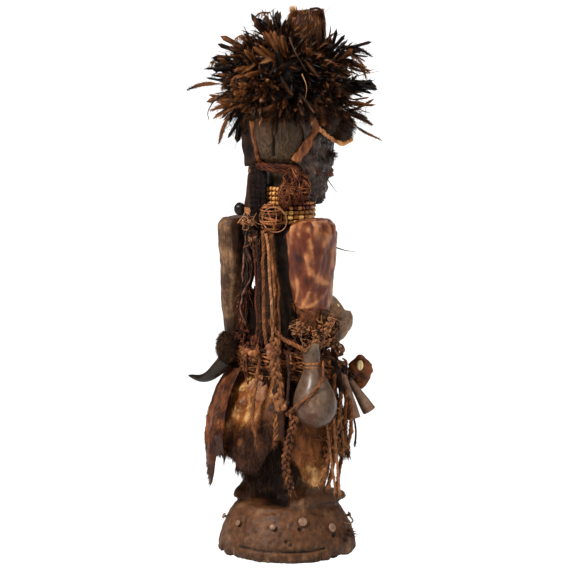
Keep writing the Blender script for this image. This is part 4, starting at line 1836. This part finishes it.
def tuck_rags():
    rags = Skein(197)
    pick = rags.random
    for _ in range(240):
        angle = pick.uniform(-70, 112)
        top = waist_height(angle) + pick.uniform(26, 62)
        radius, fall = pick.uniform(84, 104), pick.uniform(30, 70)
        spots = above_base([around(angle, radius, top), around(angle + 2 * pick.normal(), radius + 4, top - fall / 2),
                            around(angle + 4 * pick.normal(), radius + 2, top - fall)])
        rags.tube(curve(spots, 5), pick.uniform(0.8, 2.2), 5, tone=pick.uniform(0.02, 0.6))
    for angle, z, size in RAG_WADS:
        rags.tangle(above_base(around(angle, 88, z)), (size, size, size * 1.1), 18, 2.6, 0.8, 0.22, 0.8)
    rags.piece("waist_rags", "red_fibre")


def lay_waist_roll():
    """The long roll of hide under the ropes, closed inside as well."""
    roll = Skein(196)
    turn = radians(linspace(0, 360, 120, endpoint=False))
    section = turns(26)[:, None]
    out = 3.6 * cos(section)
    z = 272 - WAIST["drop"] * (1 - cos(turn)) / 2 + 29 * sin(section)
    spots = above_base(stack([-(73 + out) * sin(turn), (66 + out) * cos(turn), z], axis=-1))
    fold = unit(spots * (1, 1, 0)) * (1.6 * lumps(spots * (1, 1, 0.4), 9.0))[..., None]
    roll.grid(spots + fold, 0.34 + 0.2 * lumps(spots, 12), wraps=True)
    start = arange(120)
    after = (start + 1) % 120
    last = roll.count - 120
    roll.faces.append(stack([last + start, last + after, after, start], axis=-1))
    roll.piece("waist_hide", "red_hide:plain", "waist_hide_roll")


class FIGURE_OT_waist_ropes(bpy.types.Operator):
    """Winds the ropes and loose strings round the waist, over the roll of hide"""

    bl_idname = "figure.waist_ropes"
    bl_label = "Waist ropes and hide roll"

    def execute(self, context):
        wind_waist_ropes()
        wind_waist_strings()
        tuck_rags()
        lay_waist_roll()
        return {"FINISHED"}


# Node, finish, from and to (degrees), lift, hem's height by the share across, rows of (share down, radius),
# ripple, share of the fur's length, fur's tone
PELTS = (
    ("hide_strip_left", "red_hide:amber", -36, -9, 0, lambda u: 96 - 60 * sin(pi * minimum(1.6 * u, 1)),
     ((0, 112), (0.25, 136), (0.5, 148), (0.75, 156), (1, 150)), 0, 0.45, 0.20),
    ("pelt_back_left", "gold_pelt", -32, 38, 28, lambda u: 104 - 50 * u + 84 * ease(u, 0.66, 0.97),
     ((0, 84), (0.2, 90), (0.38, 114), (0.65, 129), (1, 130)), 5, 0.42, 0.5),
    ("pelt_back_lower", "brown_pelt", -24, 50, -30, lambda u: 72 - 36 * ease(u, 0.0, 0.5) + 10 * u,
     ((0, 80), (0.3, 106), (0.65, 112), (1, 104)), 4, 0.9, 0.30),
    ("pelt_right", "gold_pelt", 44, 92, 28, lambda u: 92 - 52 * sin(pi * u) ** 2,
     ((0, 84), (0.2, 88), (0.4, 104), (0.7, 112), (1, 115)), 3, 0.4, 0.42),
    ("pelt_front_right", "brown_pelt", 94, 178, 28, lambda u: 92 + 10 * cos(6 * u),
     ((0, 84), (0.28, 89), (0.5, 106), (1, 114)), 4, 0.8, 0.4),
    ("pelt_front_left", "brown_pelt", -180, -40, 28, lambda u: 88 + 12 * cos(9 * u),
     ((0, 84), (0.28, 89), (0.5, 108), (1, 118)), 5, 0.8, 0.4),
)
# Large folds of a pelt: lines of (share across, share down), how wide and how high
PELT_FOLDS = {
    "pelt_back_left": (
        ([(0.05, 0.42), (0.22, 0.36), (0.42, 0.3)], 0.05, 7.0), ([(0.16, 0.98), (0.22, 0.72), (0.38, 0.46)], 0.05, 7.0),
        ([(0.4, 0.98), (0.44, 0.76), (0.56, 0.52)], 0.045, 6.0), ([(0.62, 0.92), (0.6, 0.7), (0.7, 0.44)], 0.04, 5.0),
    ),
    "hide_strip_left": (([(0.3, 0.1), (0.35, 0.5), (0.5, 0.9)], 0.12, 4.0),),
    "pelt_right": (
        ([(0.3, 0.5), (0.42, 0.75), (0.5, 0.98)], 0.06, 4.0), ([(0.8, 0.5), (0.72, 0.75), (0.6, 0.95)], 0.06, 3.0),
    ),
}


def mottling(node, u, v, spots):
    """Where a pelt is darker or paler than the rest of it."""
    grain = 0.20 * lumps(spots, 13) + 0.12 * lumps(spots * (1, 1, 0.4), 6)
    if node == "pelt_back_left":
        pale = hump(u - 0.60, 0.12) * hump(v - 0.42, 0.07)
        low = ease(v + 0.35 * u, 0.70, 1.02) + 0.8 * ease(u, 0.62, 0.8) * ease(v, 0.4, 0.6)
        return 0.22 * pale - 0.62 * minimum(low, 1) + 0.1 * ease(-v, -0.4, -0.2) + grain
    if node == "pelt_right":
        tongue = ease(v, 0.80, 0.88) * hump(u - 0.5, 0.26)
        spotted = hump(u - 0.32, 0.07) * hump(v - 0.62, 0.07) + hump(u - 0.78, 0.07) * hump(v - 0.86, 0.06)
        return 0.55 * tongue - 0.4 * spotted - 0.3 * ease(-u, -0.14, 0.0) + grain
    if node == "hide_strip_left":
        return 0.3 * hump(v - 0.62, 0.05) - 0.34 * ease(v, 0.66, 0.9) + 0.16 * lumps(spots, 11)
    return 0.12 * lumps(spots, 25)


def grow_fur(fur, node, spots, out, area, furry, tone, patch):
    """Locks of fur that lie down the pelt and hang beyond its edges."""
    look, pick = setting("hide"), fur.random
    share = {"hide_strip_left": 0.3, "pelt_front_left": 0.42, "pelt_front_right": 0.42}.get(node, 0.84)
    count = min(int(area / 1e4 * look.locks * share), 18000)
    rows, columns = spots.shape[:2]
    r, c = pick.integers(0, rows - 1, count), pick.integers(0, columns - 1, count)
    if node == "hide_strip_left":
        r = where(pick.random(count) < 0.6, rows * (0.60 + 0.10 * pick.normal(size=count)), r)
        r = clip(r, 0, rows - 2).astype(int)
    fr, fc = pick.random((2, count, 1))
    base = (spots[r, c] * (1 - fr) + spots[r + 1, c] * fr) * (1 - fc) + (
        spots[r, c + 1] * (1 - fr) + spots[r + 1, c + 1] * fr) * fc
    down, away = unit(spots[r + 1, c] - spots[r, c]), out[r, c]
    ways = unit(down + away * pick.uniform(0.0, 0.28, (count, 1)) + 0.5 * drift(base, 20, 3, 7, 11)
                + 0.16 * fur.scatter(count))
    lengths = look.fur / MM * furry * pick.uniform(0.45, 1.1, count) * (0.55 + 0.45 * r / rows)
    shade = tone + 0.9 * patch[r, c] + 0.13 * pick.normal(size=count)
    fur.spikes(base + away * 1.0, ways, lengths, pick.uniform(0.6, 1.2, count), -SKY * lengths[:, None] * 0.2,
               shade - 0.12, shade + 0.12)


def hang_pelt(seed, node, finish, start, end, lift, hem, rows, ripple, furry, tone):
    in_front = node.startswith("pelt_front")
    width = max(32, int((end - start) * (0.62 if in_front else 0.95)))
    u, v = np.meshgrid(linspace(0, 1, width), linspace(0, 1, 36 if in_front else 48))
    angle = start + (end - start) * u
    top = waist_height(angle) + lift
    marks, radii = array(rows, float).T
    radius = interp(v[:, 0], marks, radii)
    radius = np.convolve(np.pad(radius, 3, mode="edge"), np.ones(7) / 7, mode="valid")[:, None]
    radius = radius - 3.0 + ripple * v * sin(4 * pi * u)
    ragged = 11 * lumps(stack([u * 9 + seed, 0 * u, 0 * u], axis=-1), 1.0) * v**5
    spots = above_base(around(angle, radius, top + (hem(u) - top) * v + ragged))
    out = unit(spots * (1, 1, 0))
    creases = 1.8 * v * lumps(spots * (1, 1, 0.25), 11.0, seed) + 1.0 * lumps(spots, 7.0, seed)
    flat = stack([u, v, 0 * u], axis=-1).reshape(-1, 3)
    fold = zeros(len(flat))
    for line, wide, high in PELT_FOLDS.get(node, ()):
        course = curve([(right, down, 0.0) for right, down in line], 0.03)
        fold = maximum(fold, high * hump(from_line(flat, course), wide))
    fold = fold.reshape(creases.shape)
    spots = spots + out * (creases + fold)[..., None]
    patch = mottling(node, u, v, spots) + 0.03 * fold
    skin = Skein(seed)
    skin.grid(spots[:, ::-1], clip(tone - 0.06 + 0.9 * patch, 0, 1)[:, ::-1])
    made = skin.piece(node.replace("pelt", "skin").replace("hide", "leather"), finish, node)
    modified(made, ("SOLIDIFY", {"thickness": 0.003, "offset": 0.0}), ("SUBSURF", {"levels": 1, "render_levels": 1}))
    flat, area = sheet_sizes(spots)
    fur = Skein(seed + 20)
    grow_fur(fur, node, spots, out, area / MM / MM, furry, tone, patch)
    coat = fur.piece(node.replace("pelt", "fur").replace("hide", "hair"), finish)


class FIGURE_OT_pelts(bpy.types.Operator):
    """Hangs the pelts and the strip of hide from the waist, each with its fur"""

    bl_idname = "figure.pelts"
    bl_label = "Pelts"

    def execute(self, context):
        for seed, pelt in enumerate(PELTS, 200):
            hang_pelt(seed, *pelt)
        return {"FINISHED"}


def set_horn_and_fur():
    horn = Skein(230)
    line = curve(above_base([(46, 112, 266), (66, 114, 248), (88, 114, 232), (108, 114, 226), (134, 118, 229)]), 2)
    share = shares(line)
    rings = 0.35 * sin(share * 120) * (1 - share) ** 0.5
    horn.tube(line, 14.6 * (1 - share) ** 0.62 + 0.4 + rings, 26, tone=0.42 - 0.3 * share + 0.1 * lumps(line, 8))
    horn.piece("goat_horn", "horn", "horn")
    fur = Skein(231)
    centre, half = above_base((44, 117, 292)), array((17.0, 14.0, 29.0))
    fur.ball(centre, half * 0.86, 16, 24, 3.0, 9.0, 0.3)
    fur.piece("fur_bundle", "brown_pelt", "waist_fur_roll")
    coat = Skein(232)
    way = unit(coat.scatter(3400))
    ways = unit(way * 0.7 - SKY * 0.5 + 0.4 * coat.scatter(3400))
    tone = 0.42 + 0.22 * coat.random.normal(size=3400)
    coat.spikes(centre + half * way * 0.84, ways, coat.random.uniform(4, 10, 3400), 1.2, -SKY * 2, tone, tone + 0.1)
    coat.piece("fur_bundle_hair", "brown_pelt")
    tag = Skein(233)
    line = curve(above_base([(-46, 108, 304), (-54, 108, 290), (-66, 106, 272)]), 1.5)
    tag.tube(line, 9 * (0.55 + 0.45 * sin(pi * shares(line) * 0.9)), 18, 0.24, RIGHT + SKY * 0.3, 0.62)
    made = tag.piece("waist_tag", "red_hide:plain", "leather_tag")
    push(made, lumps(spots_of(made.data), 5))
    scraps = Skein(234)
    line = curve_seen([(-80, 108, 378), (-70, 110, 384), (-62, 112, 379), (-52, 112, 382)], 2)
    scraps.tube(line, 5 + 2.2 * lumps(line, 5), 14, 0.7, SKY, 0.5 + 0.4 * lumps(line, 4))
    scraps.piece("waist_wad", "red_hide:amber")
    hung = Skein(235)
    line = curve_seen([(84, 78, 360), (92, 80, 337), (97, 82, 300)], 2)
    hung.tube(line, 4.6, 14, 0.36, RIGHT, 0.12 + 0.1 * lumps(line, 6))
    hung.piece("waist_strap", "dark_fibre")


class FIGURE_OT_horn_and_fur(bpy.types.Operator):
    """Sets the horn, the roll of fur and the leather tag in the waist ropes"""

    bl_idname = "figure.horn_and_fur"
    bl_label = "Horn, fur roll and tag"

    def execute(self, context):
        set_horn_and_fur()
        return {"FINISHED"}


# Hung things ------------------------------------------------------------------------------------

# The calabash: the middle of its foot, its lean for each length of it, its length, and its wall
GOURD_FOOT = array((-130.8, 75.5, 250.0))
GOURD_LEAN = array((8, 6.8, 0))
GOURD_LENGTH = 150.0
GOURD_WALL = 4.0
GOURD_BELLY = 0.28
# Strings over the calabash, from start to end as (right, near) beside its axis and a height
GOURD_STRINGS = (((18, 14, 352), (26, 30, 336)), ((10, 34, 330), (-22, 38, 300)), ((16, 30, 344), (-4, 40, 318)))


def gourd_radius(share):
    """The calabash's outside, from its foot to its neck."""
    body = 39.0 * sqrt(maximum(0.0, 1 - ((GOURD_BELLY - share) / GOURD_BELLY) ** 2))
    slope = 0.5 + 0.5 * cos(pi * clip((share - GOURD_BELLY) / 0.5, 0, 1))
    return where(share < GOURD_BELLY, body, 14.5 + 24.5 * slope**0.85)


def grow_calabash():
    foot_turns = linspace(0.12, pi / 2, 12)
    share = concatenate([[0.0], GOURD_BELLY * (1 - cos(foot_turns)), linspace(0.31, 1.0, 22)])
    outside = [(float(gourd_radius(s)), GOURD_LENGTH * s) for s in share]
    outside[0] = (0.0, 0.0)
    inside = [(max(0.0, r - GOURD_WALL), max(z, GOURD_WALL)) for r, z in outside[::-1]]
    inside[-1] = (0.0, GOURD_WALL)
    profile = outside + [(12.6, 150.6)] + inside
    made = spun("hollow_calabash", profile, 56, GOURD_FOOT, (0.053, 0.045, 0.998))
    spots = spots_of(made.data)
    high = ease(spots[:, 2], 358, 398)
    right = (spots - (-124, 82, 0)) @ RIGHT
    moved = spots.copy()
    moved[:, 2] -= high * 15.0 * ease(-right, -6, 12) ** 1.2
    moved[:, 2] -= high * 1.6 * np.abs(lumps(spots, 4.0))
    moved += read(made.data, "normal") * (0.5 * lumps(spots, 16.0))[:, None]
    move_to(made.data, moved, tone=ease(moved[:, 2], 384, 401) * high * 0.5)
    settle(made, "gourd", "calabash")


def tie_calabash():
    net = Skein(240)
    neck = array((-124.2, 81.0, 366.0))
    turn = turns(50, True)
    for z, wide in ((0, 15.4), (3.0, 15.6), (-5, 16.0)):
        net.rope(spaced(oval(turn, wide, wide, z + 1.2 * sin(turn + z)) + neck, 1.0), 3.0, 2, 3.4, tone=0.6)
    net.tangle(neck + RIGHT * 14 - SKY * 6, (6, 6, 9), 10, 2.4, 1.0, 0.5)
    for start, end in GOURD_STRINGS:
        start, end = (array((-130, 76, 0)) + in_view(*spot) for spot in (start, end))
        path = curve([start, (start + end) / 2, end], 1.5)
        share = (path[:, 2] - GOURD_FOOT[2]) / GOURD_LENGTH
        axis = GOURD_FOOT * (1, 1, 0) + outer(share, GOURD_LEAN)
        out = unit((path - axis) * (1, 1, 0))
        path = axis + out * (gourd_radius(share)[:, None] + 1.6) + outer(path[:, 2], SKY)
        net.rope(path, 3.0, 2, 3.4, tone=0.55)
    net.piece("calabash_neck_cords", "fibre")


class FIGURE_OT_calabash(bpy.types.Operator):
    """Spins the hollow calabash, cuts its slanted mouth and ties the cord at its neck"""

    bl_idname = "figure.calabash"
    bl_label = "Calabash"

    def execute(self, context):
        grow_calabash()
        tie_calabash()
        return {"FINISHED"}


def roll_bell(name, top, mouth):
    """A cone of sheet iron between two places, with the tie that it hangs by."""
    top, mouth = above_base(top), above_base(mouth)
    tall = float(norm(mouth - top))
    marks = linspace(0, 1, 14)
    outside = [(5.0 + 7.5 * m, tall * m) for m in marks]
    inside = [(max(3.0, 3.0 + 7.5 * m), max(tall * m, 2.0)) for m in marks[::-1]]
    profile = [(0, 0)] + outside + [(12.3, tall + 0.4)] + inside + [(0, 2.0)]
    made = spun(f"iron_bell_{name}", profile, 40, top, mouth - top)
    spots, way = spots_of(made.data), unit(mouth - top)
    off_axis = spots - top - outer((spots - top) @ way, way)
    seam = hump(norm(unit(off_axis) - unit(NEAR - 0.3 * SKY), axis=1), 0.16)
    push(made, 0.45 * lumps(spots, 9.0) + 0.8 * seam)
    settle(made, "iron", f"bell_{name}")
    tie, turn = Skein(250), turns(30, True)
    ring = top + outer(cos(turn) * 5, RIGHT) + outer(sin(turn) * 6 + 3, SKY)
    tie.rope(spaced(ring, 1.0), 3.2, 2, tone=0.4)
    tie.tangle(top + SKY * 6, (9, 9, 9), 9, 2.6, 1.0, 0.4)
    tie.piece(f"bell_{name}_tie", "dark_fibre")


class FIGURE_OT_bells(bpy.types.Operator):
    """Rolls the two conical iron bells from sheet, with their seams and worn mouths"""

    bl_idname = "figure.bells"
    bl_label = "Iron bells"

    def execute(self, context):
        roll_bell("lower", (-109, -26, 241), (-127, -35, 160))
        roll_bell("upper", (-103, -52, 226), (-128, -78, 168))
        return {"FINISHED"}


# Stage ------------------------------------------------------------------------------------------


# Metres: the camera's place and the point that it looks at
CAMERA_PLACE = (-3.2112, 3.8325, 1.2)
CAMERA_AIM = (0.0028, 0.0023, 0.485)
# Name, way to the lamp as shares to the photograph's left, near and up, softness in degrees, share of the power
LAMPS = (
    ("key", (0.75, 0.8, 1.0), 12, 1.0), ("fill", (-1.1, 0.7, 0.7), 40, 0.20), ("rim", (-0.5, -1.1, 1.1), 30, 0.26),
)


def lay_floor(look):
    bpy.ops.object.select_all(action="DESELECT")
    bpy.ops.mesh.primitive_plane_add(size=60.0, location=(0, 0, 0))
    floor = bpy.context.active_object
    floor.name = "floor"
    tree, shader = new_finish("floor", 0.9)
    tone = noise_at(tree, spots_in(tree), 3.0, 2.0, 0.5)
    share = ranged(tree, tone, 0.3, 0.7, 0.0, 0.02)
    tree.links.new(mixed(tree, share, tuple(look.floor), (0.9, 0.9, 0.9)), shader.inputs["Base Color"])
    seen = wire(tree, "ShaderNodeLightPath").outputs["Is Camera Ray"]
    glow = wire(tree, "ShaderNodeEmission", {"Color": (1, 1, 1, 1)}).outputs["Emission"]
    washed = wire(tree, "ShaderNodeMixShader", {0: seen, 1: shader.outputs["BSDF"], 2: glow})
    tree.links.new(washed.outputs["Shader"], tree.nodes["Material Output"].inputs["Surface"])
    floor.data.materials.append(FINISHES["floor"])


def whiten_room(scene, look):
    world = bpy.data.worlds.new("white_room")
    world.use_nodes = True
    room = world.node_tree
    background = room.nodes["Background"]
    background.inputs["Color"].default_value = (1, 1, 1, 1)
    background.inputs["Strength"].default_value = look.sky
    scene.world = world
    seen = wire(room, "ShaderNodeLightPath").outputs["Is Camera Ray"]
    room.links.new(ranged(room, seen, 0.0, 1.0, look.sky, 1.0), background.inputs["Strength"])


def aimed(name, data, place, way):
    """An object that stands at a place and looks along a way."""
    holder = placed(name, data)
    holder.location = place
    holder.rotation_euler = way.to_track_quat("-Z", "Y").to_euler()
    return holder


class FIGURE_OT_stage(bpy.types.Operator):
    """Places the pale floor, the lamps and the camera at the photograph's angle"""

    bl_idname = "figure.stage"
    bl_label = "Stage"

    def execute(self, context):
        look, scene = setting("stage"), context.scene
        lay_floor(look)
        whiten_room(scene, look)
        for name, (left, near, up), softness, share in LAMPS:
            way = -Vector(RIGHT) * left + Vector(NEAR) * near + Vector((0, 0, up))
            lamp = bpy.data.lights.new(name + "_lamp", "SUN")
            lamp.angle, lamp.energy = math.radians(softness), look.key * share
            aimed(name + "_lamp", lamp, way * 3.0, -way)
        camera = bpy.data.cameras.new("camera")
        camera.lens, camera.sensor_width, camera.clip_end = look.lens, 36.0, 60.0
        scene.camera = aimed("camera", camera, CAMERA_PLACE, Vector(CAMERA_AIM) - Vector(CAMERA_PLACE))
        scene.view_settings.view_transform = "Standard"
        scene.view_settings.look = "Medium High Contrast"
        return {"FINISHED"}


STEPS = (
    FIGURE_OT_stage, FIGURE_OT_free_cords, FIGURE_OT_carved_wood, FIGURE_OT_nails, FIGURE_OT_headdress,
    FIGURE_OT_head_hides, FIGURE_OT_beads, FIGURE_OT_neck_knots, FIGURE_OT_amulets, FIGURE_OT_arm_hide,
    FIGURE_OT_shoulder_hank, FIGURE_OT_waist_ropes, FIGURE_OT_pelts, FIGURE_OT_horn_and_fur,
    FIGURE_OT_calabash, FIGURE_OT_bells,
)


class FIGURE_PT_pieces(bpy.types.Panel):
    """Lists the settings and the steps that dress the figure"""

    bl_label = "Power figure"
    bl_idname = "FIGURE_PT_pieces"
    bl_space_type = "VIEW_3D"
    bl_region_type = "UI"
    bl_category = "Figure"

    def draw(self, context):
        for name, group in SETTINGS:
            box = self.layout.box()
            for field in group.__annotations__:
                box.prop(getattr(context.scene, name), field)
        for step in STEPS:
            self.layout.operator(step.bl_idname)


CLASSES = tuple(group for _, group in SETTINGS) + STEPS + (FIGURE_PT_pieces,)


def register():
    for cls in CLASSES:
        bpy.utils.register_class(cls)
    for name, group in SETTINGS:
        setattr(bpy.types.Scene, name, PointerProperty(type=group))


def unregister():
    for name, _ in SETTINGS:
        delattr(bpy.types.Scene, name)
    for cls in reversed(CLASSES):
        bpy.utils.unregister_class(cls)


def main():
    register()
    build_finishes()
    for step in STEPS:
        family, name = step.bl_idname.split(".")
        getattr(getattr(bpy.ops, family), name)()


if __name__ == "__main__":
    main()
